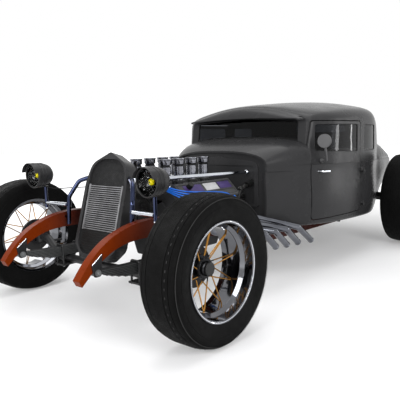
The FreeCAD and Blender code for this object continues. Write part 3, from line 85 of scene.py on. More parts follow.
# ---------------------------------------------------------------- materials
class Finish:
    """A node material under construction."""

    def __init__(self, name, rough=0.5, metal=0.0, **sockets):
        self.material = bpy.data.materials.new(name)
        self.material.use_nodes = True
        tree = self.material.node_tree
        self.nodes, self.links = tree.nodes, tree.links
        self.shader = self.nodes["Principled BSDF"]
        self.shader.inputs["Roughness"].default_value = rough
        self.shader.inputs["Metallic"].default_value = metal
        for socket, value in sockets.items():
            self.shader.inputs[socket.replace("_", " ")].default_value = value
        self.place = self.add("ShaderNodeTexCoord").outputs["Object"]

    def add(self, kind, **settings):
        node = self.nodes.new(kind)
        for key, value in settings.items():
            setattr(node, key, value)
        return node

    def feed(self, socket, value):
        """Sets a socket, or links it when value is another node's output."""
        if hasattr(value, "links"):
            self.links.new(value, socket)
        else:
            socket.default_value = value

    def maths(self, operation, a, b=0.0):
        node = self.add("ShaderNodeMath", operation=operation)
        self.feed(node.inputs[0], a)
        self.feed(node.inputs[1], b)
        return node.outputs[0]

    def times(self, a, b):
        return self.maths("MULTIPLY", a, b)

    def sine(self, value, rate):
        return self.maths("SINE", self.times(value, rate))

    def about(self, centre):
        """Object coordinates measured from a centre."""
        node = self.add("ShaderNodeVectorMath", operation="SUBTRACT")
        self.feed(node.inputs[0], self.place)
        node.inputs[1].default_value = centre
        return node.outputs[0]

    def parts_of(self, vector):
        node = self.add("ShaderNodeSeparateXYZ")
        self.feed(node.inputs[0], vector)
        return node.outputs

    def radius(self, centre):
        """Distance from the X axis through a centre."""
        xyz = self.parts_of(self.about(centre))
        square = self.maths("ADD", self.times(xyz[1], xyz[1]), self.times(xyz[2], xyz[2]))
        return self.maths("SQRT", square)

    def noise(self, scale, detail=4.0):
        node = self.add("ShaderNodeTexNoise")
        node.inputs["Scale"].default_value = scale
        node.inputs["Detail"].default_value = detail
        self.links.new(self.place, node.inputs["Vector"])
        return node.outputs["Fac"]

    def cloud(self, scale):
        """Soft blotches from 0 to 1."""
        return self.spread(self.noise(scale), 0.0, 1.0)

    def spread(self, value, low, high, start=0.3, end=0.7):
        """Maps start..end of a value to low..high."""
        node = self.add("ShaderNodeMapRange")
        self.feed(node.inputs["Value"], value)
        node.inputs["From Min"].default_value = start
        node.inputs["From Max"].default_value = end
        node.inputs["To Min"].default_value = low
        node.inputs["To Max"].default_value = high
        return node.outputs["Result"]

    def mix(self, share, a, b):
        node = self.add("ShaderNodeMix", data_type="RGBA")
        self.feed(node.inputs["Factor"], share)
        self.feed(node.inputs[6], a)
        self.feed(node.inputs[7], b)
        return node.outputs[2]

    def color(self, value):
        self.feed(self.shader.inputs["Base Color"], value)

    def rough(self, value):
        self.feed(self.shader.inputs["Roughness"], value)

    def bump(self, height, distance, edge=0.0):
        """Fine relief, on edges rounded by a small radius where one is given."""
        node = self.add("ShaderNodeBump")
        node.inputs["Distance"].default_value = distance
        node.inputs["Strength"].default_value = 1.0
        self.feed(node.inputs["Height"], height)
        if edge:
            soft = self.add("ShaderNodeBevel", samples=4)
            soft.inputs["Radius"].default_value = edge
            self.links.new(soft.outputs[0], node.inputs["Normal"])
        self.links.new(node.outputs[0], self.shader.inputs["Normal"])


def mottled(name, dark, light, rough, metal, blotch, grain, relief, edge, **sockets):
    """Plain finish with soft colour variation, uneven gloss and a fine grain."""
    f = Finish(name, metal=metal, **sockets)
    f.color(f.mix(f.cloud(blotch), dark, light))
    f.rough(f.spread(f.noise(blotch * 4.0), *rough))
    f.bump(f.noise(grain, detail=2.0), relief, edge)
    return f.material


# name: dark and light screen levels, roughness range, metallic, blotch and grain scales, relief,
#       rounded edge, specular level
PLAIN = {
    "body_grey": ((43, 43, 44), (48, 48, 49), (0.22, 0.29), 0.0, 2.5, 900.0, 0.00003, 0.003, 0.12),
    "floor_black": ((20, 20, 20), (30, 30, 30), (0.5, 0.7), 0.0, 4.0, 300.0, 0.0002, 0.002, 0.2),
    "steel_dark": ((24, 24, 25), (36, 36, 37), (0.3, 0.46), 0.0, 9.0, 500.0, 0.0001, 0.0015, 0.3),
    "chrome": ((214, 218, 226), (236, 238, 243), (0.03, 0.08), 1.0, 7.0, 60.0, 0.00002, 0.0008, 0.5),
    "cast_iron": ((40, 40, 41), (58, 58, 60), (0.5, 0.68), 0.0, 10.0, 260.0, 0.0006, 0.002, 0.25),
    "cast_alloy": ((44, 44, 45), (60, 60, 61), (0.36, 0.5), 0.0, 10.0, 420.0, 0.0003, 0.0025, 0.3),
    "black_satin": ((10, 10, 10), (18, 18, 18), (0.32, 0.48), 0.0, 12.0, 500.0, 0.0001, 0.0, 0.2),
    "black_rubber": ((9, 9, 9), (16, 16, 16), (0.6, 0.8), 0.0, 20.0, 600.0, 0.0001, 0.0, 0.15),
    "bar_grey": ((104, 104, 106), (140, 140, 142), (0.28, 0.42), 0.3, 20.0, 500.0, 0.0001, 0.0, 0.4),
    "purple": ((46, 34, 78), (58, 44, 94), (0.3, 0.42), 0.0, 20.0, 500.0, 0.0001, 0.0, 0.3),
    "plate_white": ((160, 160, 161), (176, 176, 177), (0.36, 0.5), 0.0, 30.0, 500.0, 0.0001, 0.0, 0.3),
    "lead_blue": ((4, 84, 176), (12, 104, 206), (0.32, 0.46), 0.0, 30.0, 500.0, 0.0001, 0.0, 0.3),
    "boot_white": ((190, 194, 200), (214, 216, 220), (0.3, 0.45), 0.0, 30.0, 300.0, 0.0001, 0.0, 0.4),
    "bulb_yellow": ((226, 210, 10), (240, 224, 24), (0.1, 0.2), 0.0, 30.0, 300.0, 0.0, 0.0, 0.3),
    "lamp_red": ((120, 8, 10), (150, 14, 14), (0.08, 0.16), 0.0, 30.0, 200.0, 0.0, 0.0, 0.5),
    "polished": ((112, 113, 119), (130, 131, 137), (0.16, 0.24), 1.0, 9.0, 200.0, 0.00001, 0.0, 0.5),
    # exhaust pipes and tips: chrome with a darkened base colour, a painted dark reflection
    "pipe_chrome": ((88, 90, 96), (112, 114, 120), (0.06, 0.11), 1.0, 9.0, 200.0, 0.00001, 0.0, 0.5),
    # rims: chrome with a darkened base colour, a painted dark reflection
    "rim_chrome": ((98, 99, 103), (112, 113, 117), (0.05, 0.1), 1.0, 7.0, 60.0, 0.00001, 0.0008, 0.5),
    "lamp_black": ((4, 4, 4), (7, 7, 7), (0.12, 0.2), 0.0, 12.0, 500.0, 0.00002, 0.0, 0.2),
    "mirror_grey": ((72, 72, 73), (78, 78, 79), (0.34, 0.44), 0.0, 6.0, 600.0, 0.00005, 0.002, 0.3),
    # leaf edges: lighter grey strips, a painted highlight along each leaf's side
    "leaf_edge_painted_highlight": ((58, 60, 60), (78, 80, 80), (0.4, 0.6), 0.0, 5.0, 500.0, 0.0002, 0.0, 0.5),
    "bolt_grey": ((96, 98, 99), (124, 126, 127), (0.3, 0.45), 0.5, 5.0, 500.0, 0.0002, 0.0, 0.5),
    "mark_grey": ((66, 66, 66), (84, 84, 84), (0.6, 0.75), 0.0, 5.0, 800.0, 0.0002, 0.0, 0.15),
    # painted highlight: lighter grey for the ring on the tyre's shoulder ridge
    "ridge_painted_highlight": ((34, 34, 34), (46, 46, 46), (0.6, 0.75), 0.0, 5.0, 800.0, 0.0002, 0.0, 0.12),
}
MATERIAL = {
    name: mottled(name, tone(*row[0]), tone(*row[1]), *row[2:8], Specular_IOR_Level=row[8])
    for name, row in PLAIN.items()
}


def leather(name, dark, light):
    """Pebbled hide with creases."""
    f = Finish(name, Specular_IOR_Level=0.4)
    f.color(f.mix(f.cloud(9.0), dark, light))
    cells = f.add("ShaderNodeTexVoronoi", feature="DISTANCE_TO_EDGE")
    cells.inputs["Scale"].default_value = 420.0
    f.feed(cells.inputs["Vector"], f.place)
    pebble = f.spread(cells.outputs["Distance"], 0.0, 1.0, 0.0, 0.12)
    f.rough(f.spread(pebble, 0.62, 0.42, 0.0, 1.0))
    f.bump(f.maths("ADD", pebble, f.times(f.noise(38.0), 1.6)), 0.0004)
    return f.material


def tinted_glass(name, colour, rough=0.02, index=1.45):
    """Clear pane with faint waviness."""
    f = Finish(name, Transmission_Weight=1.0, IOR=index)
    f.color(f.mix(f.cloud(3.0), colour, tuple(c * 0.92 for c in colour[:3]) + (1.0,)))
    f.rough(f.spread(f.noise(8.0), rough, rough * 1.6))
    f.bump(f.noise(4.0, detail=1.0), 0.00002)
    return f.material


SIDE_RIBS = 260.0


def tyre_rubber(name, lines):
    """Matte rubber: rings on the tread, fine radial ribs low on the side walls, lighter low on the side
    walls, with soft blotches.
    """
    f = Finish(name, Specular_IOR_Level=0.05)
    xyz = f.parts_of(f.place)
    r = f.radius((0.0, 0.0, 0.0))
    angle = f.maths("ARCTAN2", xyz[1], xyz[2])
    ribs = f.sine(angle, SIDE_RIBS)
    rings = f.sine(xyz[0], lines)
    side = f.spread(r, 1.0, 0.0, 0.3, 0.345)
    relief = f.maths("ADD", f.times(ribs, f.times(side, 0.35)),
                     f.times(rings, f.maths("SUBTRACT", 1.0, side)))
    dusty = f.cloud(6.0)
    # lighter low on the side walls, towards the rim
    low_wall = f.spread(r, 1.0, 0.0, 0.25, 0.33)
    f.color(f.mix(low_wall, f.mix(dusty, tone(9, 9, 9), tone(14, 14, 14)),
                  f.mix(dusty, tone(14, 14, 14), tone(21, 21, 21))))
    f.rough(f.spread(f.noise(26.0), 0.55, 0.75))
    f.bump(f.maths("ADD", f.times(relief, 0.6), f.noise(500.0)), 0.0006)
    return f.material


WIRES_PER_METRE = 900.0


def mesh_screen(name):
    """Fine dark wire cloth."""
    f = Finish(name, Specular_IOR_Level=0.15)
    xyz = f.parts_of(f.place)
    across = f.maths("ABSOLUTE", f.sine(xyz[0], WIRES_PER_METRE))
    down = f.maths("ABSOLUTE", f.sine(xyz[2], WIRES_PER_METRE))
    weave = f.times(across, down)
    f.color(f.mix(weave, tone(32, 32, 33), tone(12, 12, 12)))
    f.rough(f.spread(f.noise(40.0), 0.5, 0.7))
    f.bump(weave, 0.0008)
    return f.material


# radii between which a hub turns from dark barrel to gold wires
HUB_EDGE = (0.064, 0.068)


def wire_spokes(name, end):
    """Gold wires on a dark hub barrel, told apart by their distance from the axle."""
    low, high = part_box("spokes_%s_left" % end)
    f = Finish(name, metal=1.0)
    r = f.radius((Vector(low) + Vector(high)) / 2.0)
    wire = f.spread(r, 0.0, 1.0, *HUB_EDGE)
    cloud = f.cloud(12.0)
    f.color(f.mix(wire, f.mix(cloud, tone(40, 40, 42), tone(58, 58, 60)),
                  f.mix(cloud, tone(150, 106, 48), tone(182, 134, 70))))
    f.rough(f.spread(f.noise(30.0), 0.26, 0.4))
    f.bump(f.noise(300.0), 0.00005)
    return f.material


# where the bright cross bars lie: height and half thickness, their ends across, and the rods to the cab
CROSS_BAR_Z, CROSS_BAR_HALF = 0.603, 0.0121
CROSS_BAR_X = (0.297, 0.474)
ROD_START_Y, ROD_START_Z = -1.3385, 0.715


def stay_chrome(name):
    """Chrome hoop and posts darkened by a painted dark blue reflection, with bright cross bars and rods,
    told apart by their place.
    """
    f = Finish(name, metal=1.0)
    xyz = f.parts_of(f.place)
    across = f.maths("ABSOLUTE", xyz[0])
    from_bar = f.maths("ABSOLUTE", f.maths("SUBTRACT", xyz[2], CROSS_BAR_Z))
    bar = f.times(f.maths("LESS_THAN", from_bar, CROSS_BAR_HALF),
                  f.times(f.maths("GREATER_THAN", across, CROSS_BAR_X[0]),
                          f.maths("LESS_THAN", across, CROSS_BAR_X[1])))
    rods = f.times(f.maths("GREATER_THAN", xyz[1], ROD_START_Y),
                   f.maths("GREATER_THAN", xyz[2], ROD_START_Z))
    cloud = f.cloud(7.0)
    # painted reflection: the hoop and posts take a dark blue-grey colour that stands in for dark
    # surroundings mirrored in their chrome
    f.color(f.mix(f.maths("MAXIMUM", bar, rods), f.mix(cloud, tone(40, 46, 66), tone(60, 66, 90)),
                  f.mix(cloud, tone(190, 194, 202), tone(214, 218, 224))))
    f.rough(f.spread(f.noise(28.0), 0.05, 0.11))
    f.bump(f.noise(60.0), 0.00001)
    return f.material


# where the rails turn from orange to a browner painted reflection
RAIL_PAINTED_REFLECTION_Y = (-1.66, -1.36)


def rail_paint(name):
    """Orange at the horns, with a browner painted reflection towards the cab and soft mottling."""
    f = Finish(name, Specular_IOR_Level=0.04)
    xyz = f.parts_of(f.place)
    back = f.spread(xyz[1], 0.0, 1.0, *RAIL_PAINTED_REFLECTION_Y)
    cloud = f.cloud(4.0)
    # painted reflection: browner grey colour towards the cab
    f.color(f.mix(back, f.mix(cloud, tone(104, 36, 5), tone(118, 44, 8)),
                  f.mix(cloud, tone(62, 29, 24), tone(70, 34, 28))))
    f.rough(f.spread(f.noise(16.0), 0.24, 0.34))
    f.bump(f.noise(500.0), 0.00006, 0.004)
    return f.material


MATERIAL["rail_paint"] = rail_paint("rail_paint")
MATERIAL["front_spokes"] = wire_spokes("front_spokes", "front")
MATERIAL["rear_spokes"] = wire_spokes("rear_spokes", "rear")
MATERIAL["stay_chrome"] = stay_chrome("stay_chrome")
MATERIAL["seat_leather"] = leather("seat_leather", tone(96, 10, 15), tone(128, 18, 24))
MATERIAL["black_leather"] = leather("black_leather", tone(22, 20, 20), tone(36, 33, 33))
MATERIAL["window_glass"] = tinted_glass("window_glass", tone(92, 94, 98), 0.02, 1.2)
MATERIAL["lamp_glass"] = tinted_glass("lamp_glass", tone(246, 247, 248), 0.01, 1.06)
MATERIAL["front_tyre"] = tyre_rubber("front_tyre", 2600.0)
MATERIAL["rear_tyre"] = tyre_rubber("rear_tyre", 1500.0)
MATERIAL["screen"] = mesh_screen("screen")

# finish: the CAD nodes that take it
NODES_OF = {
    "body_grey": "cowl quarter_panels roof sills door_left door_right deck_lid firewall grille_shell "
                 "headlight_bowls",
    "floor_black": "floor_pan",
    "rail_paint": "frame",
    "window_glass": "fixed_glass door_glass_left door_glass_right",
    "lamp_glass": "headlight_lenses",
    "bulb_yellow": "headlight_bulbs",
    "steel_dark": "front_springs spring_hangers front_axle rear_axle trailing_arms knuckle_left "
                  "knuckle_right front_drive",
    "stay_chrome": "nose_stays",
    "polished": "velocity_stacks",
    "pipe_chrome": "exhaust_pipes",
    "chrome": "handle_left handle_right",
    "rim_chrome": "rim_front_left rim_front_right rim_rear_left rim_rear_right",
    "front_spokes": "spokes_front_left spokes_front_right",
    "rear_spokes": "spokes_rear_left spokes_rear_right",
    "cast_iron": "engine_block cylinder_heads drive_line",
    "cast_alloy": "valve_covers intake_manifold",
    "black_satin": "distributor steering_column",
    "screen": "radiator",
    "black_leather": "dashboard steering_wheel",
    "black_rubber": "radiator_hose",
    "lead_blue": "plug_leads",
    "bar_grey": "grille_bars",
    "seat_leather": "seat_cushion seat_back",
    "mirror_grey": "mirror_left",
    "lamp_red": "tail_lamps",
    "front_tyre": "tyre_front_left tyre_front_right",
    "rear_tyre": "tyre_rear_left tyre_rear_right",
}


def coat(obj, material):
    obj.data.materials.clear()
    obj.data.materials.append(MATERIAL[material])


for material, names in NODES_OF.items():
    for node in names.split():
        for slot in NODES[node].material_slots:
            slot.material = MATERIAL[material]


# ------------------------------------------------------------------- meshes
def mesh_object(name, verts, faces, smooth=True):
    mesh = bpy.data.meshes.new(name)
    mesh.from_pydata([tuple(v) for v in verts], [], faces)
    mesh.update()
    obj = bpy.data.objects.new(name, mesh)
    bpy.context.scene.collection.objects.link(obj)
    if smooth:
        mesh.shade_smooth()
    return obj


def finished(obj, material, body="chassis", replaces=()):
    """Gives a new piece its material and body, and hides the parts it replaces."""
    coat(obj, material)
    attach(obj, body)
    if replaces:
        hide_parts(*replaces)
    return obj


def spun(profile, turn, steps, close=True):
    """Verts and faces of a profile of (along, radius) turned about an axis; turn(along, radius, angle)."""
    verts = [turn(a, r, t) for t in around(steps) for a, r in profile]
    n = len(profile)
    faces = []
    for k in range(steps):
        nxt = (k + 1) % steps
        for i in range(n if close else n - 1):
            j = (i + 1) % n
            faces.append((k * n + i, k * n + j, nxt * n + j, nxt * n + i))
    return verts, faces


def sleeve(start, end, inner, outer):
    """Section of a plain ring: from and to along its axis, then its two radii."""
    return [(start, inner), (start, outer), (end, outer), (end, inner)]


def round_x(a, r, t):
    """Point of a profile turned about the X axis."""
    return Vector((a, r * math.sin(t), r * math.cos(t)))


def round_y(a, r, t):
    """Point of a profile turned about the Y axis."""
    return Vector((r * math.cos(t), a, r * math.sin(t)))


def round_z(a, r, t):
    """Point of a profile turned about the Z axis."""
    return Vector((r * math.cos(t), r * math.sin(t), a))


def around(count, shift=0.0):
    """Even angles round a circle."""
    return [2.0 * math.pi * (k + shift) / count for k in range(count)]


def frame_at(centre, axis):
    """Matrix that carries +Z to an axis through a centre."""
    return Matrix.Translation(Vector(centre)) @ Vector(axis).to_track_quat("Z", "Y").to_matrix().to_4x4()


class Build:
    """Several small solids gathered into one mesh."""

    def __init__(self):
        self.verts, self.faces = [], []

    def add(self, verts, faces, matrix=None):
        base = len(self.verts)
        self.verts += [matrix @ Vector(v) if matrix else Vector(v) for v in verts]
        self.faces += [tuple(base + i for i in f) for f in faces]
        return self

    def turned(self, profile, centre, axis, steps=24):
        """Solid of revolution from (along, radius) points; its first and last radius are small caps."""
        verts, faces = spun(profile, round_z, steps, close=False)
        n = len(profile)
        faces.append(tuple(k * n for k in range(steps))[::-1])
        faces.append(tuple(k * n + n - 1 for k in range(steps)))
        return self.add(verts, faces, frame_at(centre, axis))

    def ring(self, profile, centre, axis, steps=48):
        """Closed ring of (along, radius) points about an axis."""
        verts, faces = spun(profile, round_z, steps)
        return self.add(verts, faces, frame_at(centre, axis))

    def bolt(self, centre, axis, size=0.006):
        """Chamfered hexagon head on a washer."""
        s = size
        washer = [(0.0, s * 1.5), (s * 0.18, s * 1.5), (s * 0.22, s * 1.42), (s * 0.22, s * 0.9)]
        self.turned(washer, centre, axis, 16)
        self.turned([(s * 0.2, s), (s * 0.85, s), (s * 1.0, s * 0.82), (s * 1.0, 0.0005)], centre, axis, 6)
        return self

    def bar(self, start, end, r, steps=12):
        a, b = Vector(start), Vector(end)
        h = (b - a).length
        c = min(r * 0.3, h * 0.2)
        return self.turned([(0.0, r - c), (c, r), (h - c, r), (h, r - c)], a, b - a, steps)

    def block(self, matrix, size, bevel):
        """Bevelled slab of a size about the middle of its lower face."""
        x, y, z = size[0] / 2.0, size[1] / 2.0, size[2]
        rows = [(0.0, bevel), (bevel, 0.0), (z - bevel, 0.0), (z, bevel)]
        verts, faces = [], []
        for h, inset in rows:
            a, b, c = x - inset, y - inset, bevel
            verts += [(a, b - c, h), (a - c, b, h), (c - a, b, h), (-a, b - c, h),
                      (-a, c - b, h), (c - a, -b, h), (a - c, -b, h), (a, c - b, h)]
        for k in range(3):
            for i in range(8):
                j = (i + 1) % 8
                faces.append((k * 8 + i, k * 8 + j, k * 8 + 8 + j, k * 8 + 8 + i))
        faces.append(tuple(range(8))[::-1])
        faces.append(tuple(range(24, 32)))
        return self.add(verts, faces, matrix)

    def piece(self, name, material, slot, body="chassis", smooth=True):
        obj = mesh_object(name, self.verts, self.faces, smooth)
        bm = bmesh.new()
        bm.from_mesh(obj.data)
        bmesh.ops.recalc_face_normals(bm, faces=bm.faces)
        bm.to_mesh(obj.data)
        bm.free()
        if smooth:
            crease = obj.modifiers.new("creases", "EDGE_SPLIT")
            crease.split_angle = math.radians(38.0)
        return finished(obj, material, body)


def lead(name, points, radius, material, body="chassis", replaces=(), cyclic=False):
    """Smooth round run through control points."""
    curve = bpy.data.curves.new(name, "CURVE")
    curve.dimensions = "3D"
    curve.bevel_depth = radius
    curve.bevel_resolution = 4
    curve.resolution_u = 6
    spline = curve.splines.new("NURBS")
    spline.points.add(len(points) - 1)
    for point, place in zip(spline.points, points):
        point.co = (*place, 1.0)
    spline.order_u = 3
    spline.use_cyclic_u = cyclic
    if not cyclic:
        spline.use_endpoint_u = True
        curve.use_fill_caps = True
    obj = bpy.data.objects.new(name, curve)
    bpy.context.scene.collection.objects.link(obj)
    return finished(obj, material, body, replaces)


# ------------------------------------------------------------------- wheels
# places of the grooves across each tread, their width and depth
GROOVES = {
    "front": ((-0.078, -0.05, 0.05, 0.078), 0.003, 0.0028),
    "rear": (tuple(0.022 * k for k in range(-6, 7)), 0.0024, 0.0024),
}
# outline of a tyre's side, as shares: across from the middle (1 = widest), radius (1 = outside)
SIDE_SHAPE = {
    "front": ((0.8, 0.632), (0.838, 0.64), (0.862, 0.664), (0.905, 0.7), (0.965, 0.755), (0.994, 0.81),
              (0.998, 0.838), (0.985, 0.842), (0.985, 0.852), (0.99, 0.872), (0.966, 0.908), (0.952, 0.921),
              (0.9475, 0.9345), (0.93, 0.942), (0.92, 0.938), (0.875, 0.958), (0.835, 0.968)),
    "rear": ((0.87, 0.553), (0.898, 0.566), (0.912, 0.595), (0.95, 0.66), (0.985, 0.74), (0.998, 0.8),
             (0.998, 0.818), (0.99, 0.822), (0.99, 0.832), (0.992, 0.85), (0.968, 0.91), (0.938, 0.94),
             (0.915, 0.958), (0.89, 0.968)),
}
TYRE_STEPS = 144
TYRE_WALL = 0.016
# two rows of wear dashes: place across, share of the tyre's radius, outward lean
DASHES = 60
DASH_ROWS = ((0.088, 0.9665, 0.28), (0.064, 0.9915, 0.12))
DASH_SIZE = (0.0018, 0.011, 0.0009)


def tread_points(half, outer, crown_drop, grooves, width, depth):
    """Tread outline from one shoulder to the other, with square grooves cut in it."""
    def height(x):
        return outer - crown_drop * (abs(x) / half) ** 2.4
    mouth = width / 2
    floor = mouth * 0.8
    points = []
    for x in grooves:
        for dx, down in ((-mouth, 0.0), (-floor, depth), (floor, depth), (mouth, 0.0)):
            points.append((x + dx, height(x + dx) - down))
        points.append((x + width, height(x + width)))
    return points


def tyre(end, side):
    """Grooved tyre with a rounded shoulder, ridged side walls and a hollow inside."""
    node = "tyre_%s_%s" % (end, side)
    low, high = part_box(node)
    centre = (Vector(low) + Vector(high)) / 2.0
    half = (high[0] - low[0]) / 2.0
    outer = (high[2] - low[2]) / 2.0
    shape = SIDE_SHAPE[end]
    drop = outer * (1.0 - shape[-1][1])
    tread = tread_points(half * shape[-1][0], outer, drop, *GROOVES[end])
    right = [(half * a, outer * r) for a, r in shape]
    outside = [(-a, r) for a, r in right] + tread + right[::-1]
    inside = [(a - TYRE_WALL if a > 0 else a + TYRE_WALL, r - TYRE_WALL * 0.9) for a, r in right[3::3]]
    inside = inside + [(-a, r) for a, r in inside[::-1]]
    profile = outside + [(right[0][0] - TYRE_WALL, right[0][1])] + inside + [
        (-right[0][0] + TYRE_WALL, right[0][1])]

    verts, faces = spun(profile, round_x, TYRE_STEPS)
    obj = mesh_object("tyre_skin_%s_%s" % (end, side), verts, faces)
    obj.location = centre
    crease = obj.modifiers.new("creases", "EDGE_SPLIT")
    crease.split_angle = math.radians(34.0)
    body = "wheel_%s_%s" % (end, side)
    finished(obj, end + "_tyre", body, [node])
    return centre, outer, body


BEAD_R = 0.003
HUB_BOLT_RING = 0.0265


def wheel_trim(end, side, sx, centre, outer, body):
    """Wear dashes and a ridge with a painted highlight on a front tyre's shoulder, rim bead, valve stem and
    hub disc.
    """
    out = Vector((sx, 0.0, 0.0))
    if end == "front":
        marks = Build()
        for t in around(DASHES):
            radial = Vector((0.0, math.sin(t), math.cos(t)))
            along = Vector((0.0, math.cos(t), -math.sin(t)))
            for a, r, lean in DASH_ROWS:
                normal = (radial * 0.96 + out * lean).normalized()
                across = along.cross(normal).normalized()
                m = Matrix((across, along, normal)).transposed().to_4x4()
                m.translation = centre + out * a + radial * outer * r
                marks.block(m, DASH_SIZE, 0.0003)
        marks.piece("tyre_marks_" + side, "mark_grey", "tyre", body, smooth=False)
        # the shoulder ridge ring is lighter grey than the tyre: painted highlight
        ridge = Build()
        ridge.ring([(0.1083, 0.935 * outer), (0.1094, 0.934 * outer), (0.109, 0.9372 * outer),
                    (0.1072, 0.9424 * outer), (0.1066, 0.9412 * outer)], centre, out, 144)
        ridge.piece("tyre_ridge_" + side, "ridge_painted_highlight", "tyre", body, smooth=False)
    rim_low, rim_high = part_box("rim_%s_%s" % (end, side))
    rim_r = (rim_high[2] - rim_low[2]) / 2.0
    lip = (rim_high[0] - rim_low[0]) / 2.0
    trim = Build()
    # rolled bead round the outer lip
    bead = [(BEAD_R * math.cos(t), BEAD_R * math.sin(t)) for t in around(8)]
    trim.ring([(a, rim_r - 0.006 + r) for a, r in bead], centre + out * (lip - 0.004), out, 96)
    # valve stem through the rim's outer step
    stem = centre + out * (lip - 0.022) + UP * (rim_r - 0.03)
    trim.turned([(0.0, 0.0035), (0.006, 0.0035), (0.007, 0.0028), (0.022, 0.0028), (0.024, 0.0024)],
                stem, out * 0.8 + DOWN * 0.6, 10)
    trim.piece("rim_bead_%s_%s" % (end, side), "chrome", "chrome", body)
    hub_low, hub_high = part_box("spokes_%s_%s" % (end, side))
    face = hub_high[0] if sx > 0 else hub_low[0]
    cap = Build()
    cap.turned([(0.0, 0.034), (0.002, 0.034), (0.0035, 0.032), (0.0045, 0.026), (0.006, 0.012),
                (0.0062, 0.0005)], Vector((face - sx * 0.0035, centre.y, centre.z)), out, 40)
    for t in around(6):
        spot = round_x(face - sx * 0.0012, HUB_BOLT_RING, t) + Vector((0.0, centre.y, centre.z))
        cap.bolt(spot, out, 0.0028)
    cap.piece("hub_disc_%s_%s" % (end, side), "steel_dark", "spring_steel", body)


for end in GROOVES:
    for side, sx in SIDES:
        wheel_trim(end, side, sx, *tyre(end, side))


# ----------------------------------------------------------- windows, seals
def sharp_loops(node, angle):
    """Closed runs of edges where a pane turns from its face to its rim, as point lists."""
    source = NODES[node]
    bm = bmesh.new()
    bm.from_mesh(source.data)
    bmesh.ops.remove_doubles(bm, verts=bm.verts, dist=0.00005)
    links = {}
    for edge in bm.edges:
        if len(edge.link_faces) == 2 and edge.calc_face_angle() > angle:
            a, b = edge.verts
            links.setdefault(a, []).append(b)
            links.setdefault(b, []).append(a)
    loops, seen = [], set()
    for start in links:
        if start in seen:
            continue
        run, at, last = [], start, None
        while at is not None and at not in seen:
            seen.add(at)
            run.append(source.matrix_world @ at.co)
            nxt = [v for v in links[at] if v is not last and v not in seen]
            last, at = at, nxt[0] if nxt else None
        if len(run) > 8:
            loops.append(run)
    bm.free()
    return loops


def resampled(points, pitch):
    """Points at an even pitch round a closed run."""
    out, carried = [points[0]], 0.0
    for a, b in zip(points, points[1:] + points[:1]):
        step = (b - a).length
        while step > 1e-9 and carried + step >= pitch:
            share = (pitch - carried) / step
            a = a.lerp(b, share)
            out.append(a.copy())
            step = (b - a).length
            carried = 0.0
        carried += step
    return out


SEAL_R = 0.0042
SEAL_PITCH = 0.014
for node, body in (("fixed_glass", "chassis"), ("door_glass_left", "door_left"),
                   ("door_glass_right", "door_right")):
    for k, run in enumerate(sharp_loops(node, math.radians(50.0))):
        closed = resampled(run, SEAL_PITCH)
        lead("seal_%s_%d" % (node, k), closed, SEAL_R, "black_rubber", body, cyclic=True)


# ------------------------------------------------------------------- engine
CRANK_Z = 0.4
BANK_TILT = math.radians(45.0)
COVER_TOP = 0.384
COVER_Y = tuple(corner[1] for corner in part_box("valve_covers"))


def bank(sx, across, y, out):
    """Point in a bank's own frame to the car's."""
    s, c = math.sin(BANK_TILT), math.cos(BANK_TILT)
    return Vector((sx * (out * s + across * c), y, CRANK_Z + out * c - across * s))


def bank_out(sx):
    return (bank(sx, 0.0, 0.0, 1.0) - bank(sx, 0.0, 0.0, 0.0)).normalized()


def bank_down(sx):
    return bank(sx, 1.0, 0.0, 0.0) - bank(sx, 0.0, 0.0, 0.0)


def bank_frame(sx, across, y, out):
    """Matrix on a bank: its X along the car, its Z out of the bank."""
    z = bank_out(sx)
    m = Matrix((REAR, z.cross(REAR), z)).transposed().to_4x4()
    m.translation = bank(sx, across, y, out)
    return m


COVER_MID = (COVER_Y[0] + COVER_Y[1]) / 2.0
COVER_RUN = COVER_Y[1] - COVER_Y[0]
# middle along the cover and length of each insert, as shares of the cover
INSERTS = ((-0.235, 0.3, "purple"), (0.075, 0.235, "plate_white"), (0.325, 0.22, "purple"))
INSERT_WIDTH, INSERT_RISE = 0.056, 0.0026
RIB_ACROSS = (-0.046, 0.026, 0.06)
END_RIB_SHARE = 0.462
# bolts across a bank and its height there: cover flange, then head
FLANGE_BOLTS, FLANGE_OUT = (-0.0755, 0.0795), 0.3402
HEAD_BOLT, HEAD_BOLT_OUT = 0.0742, 0.262


def even(start, end, count):
    """Even places from one to another."""
    return [start + i * (end - start) / (count - 1) for i in range(count)]


for side, sx in SIDES:
    for k, (shift, share, material) in enumerate(INSERTS):
        strip = Build()
        at = bank_frame(sx, -0.01, COVER_MID + shift * COVER_RUN, COVER_TOP)
        strip.block(at, (share * COVER_RUN, INSERT_WIDTH, INSERT_RISE), 0.0008)
        strip.piece("cover_insert_%s_%d" % (side, k), material, "cover", smooth=False)
    ribs = Build()
    for across in RIB_ACROSS:
        ribs.block(bank_frame(sx, across, COVER_MID, COVER_TOP), (COVER_RUN * 0.93, 0.005, 0.004), 0.0012)
    for share in (-END_RIB_SHARE, END_RIB_SHARE):
        at = bank_frame(sx, 0.007, COVER_MID + share * COVER_RUN, COVER_TOP)
        ribs.block(at, (0.006, 0.11, 0.004), 0.0012)
    ribs.piece("cover_ribs_" + side, "cast_alloy", "cover", smooth=False)
    bolts = Build()
    for y in even(COVER_Y[0] + 0.022, COVER_Y[1] - 0.022, 5):
        for across in FLANGE_BOLTS:
            bolts.bolt(bank(sx, across, y, FLANGE_OUT), bank_out(sx), 0.0052)
    for y in even(COVER_Y[0] + 0.05, COVER_Y[1] - 0.06, 6):
        bolts.bolt(bank(sx, HEAD_BOLT, y, HEAD_BOLT_OUT), bank_down(sx), 0.006)
    bolts.piece("head_bolts_" + side, "chrome", "chrome", smooth=False)

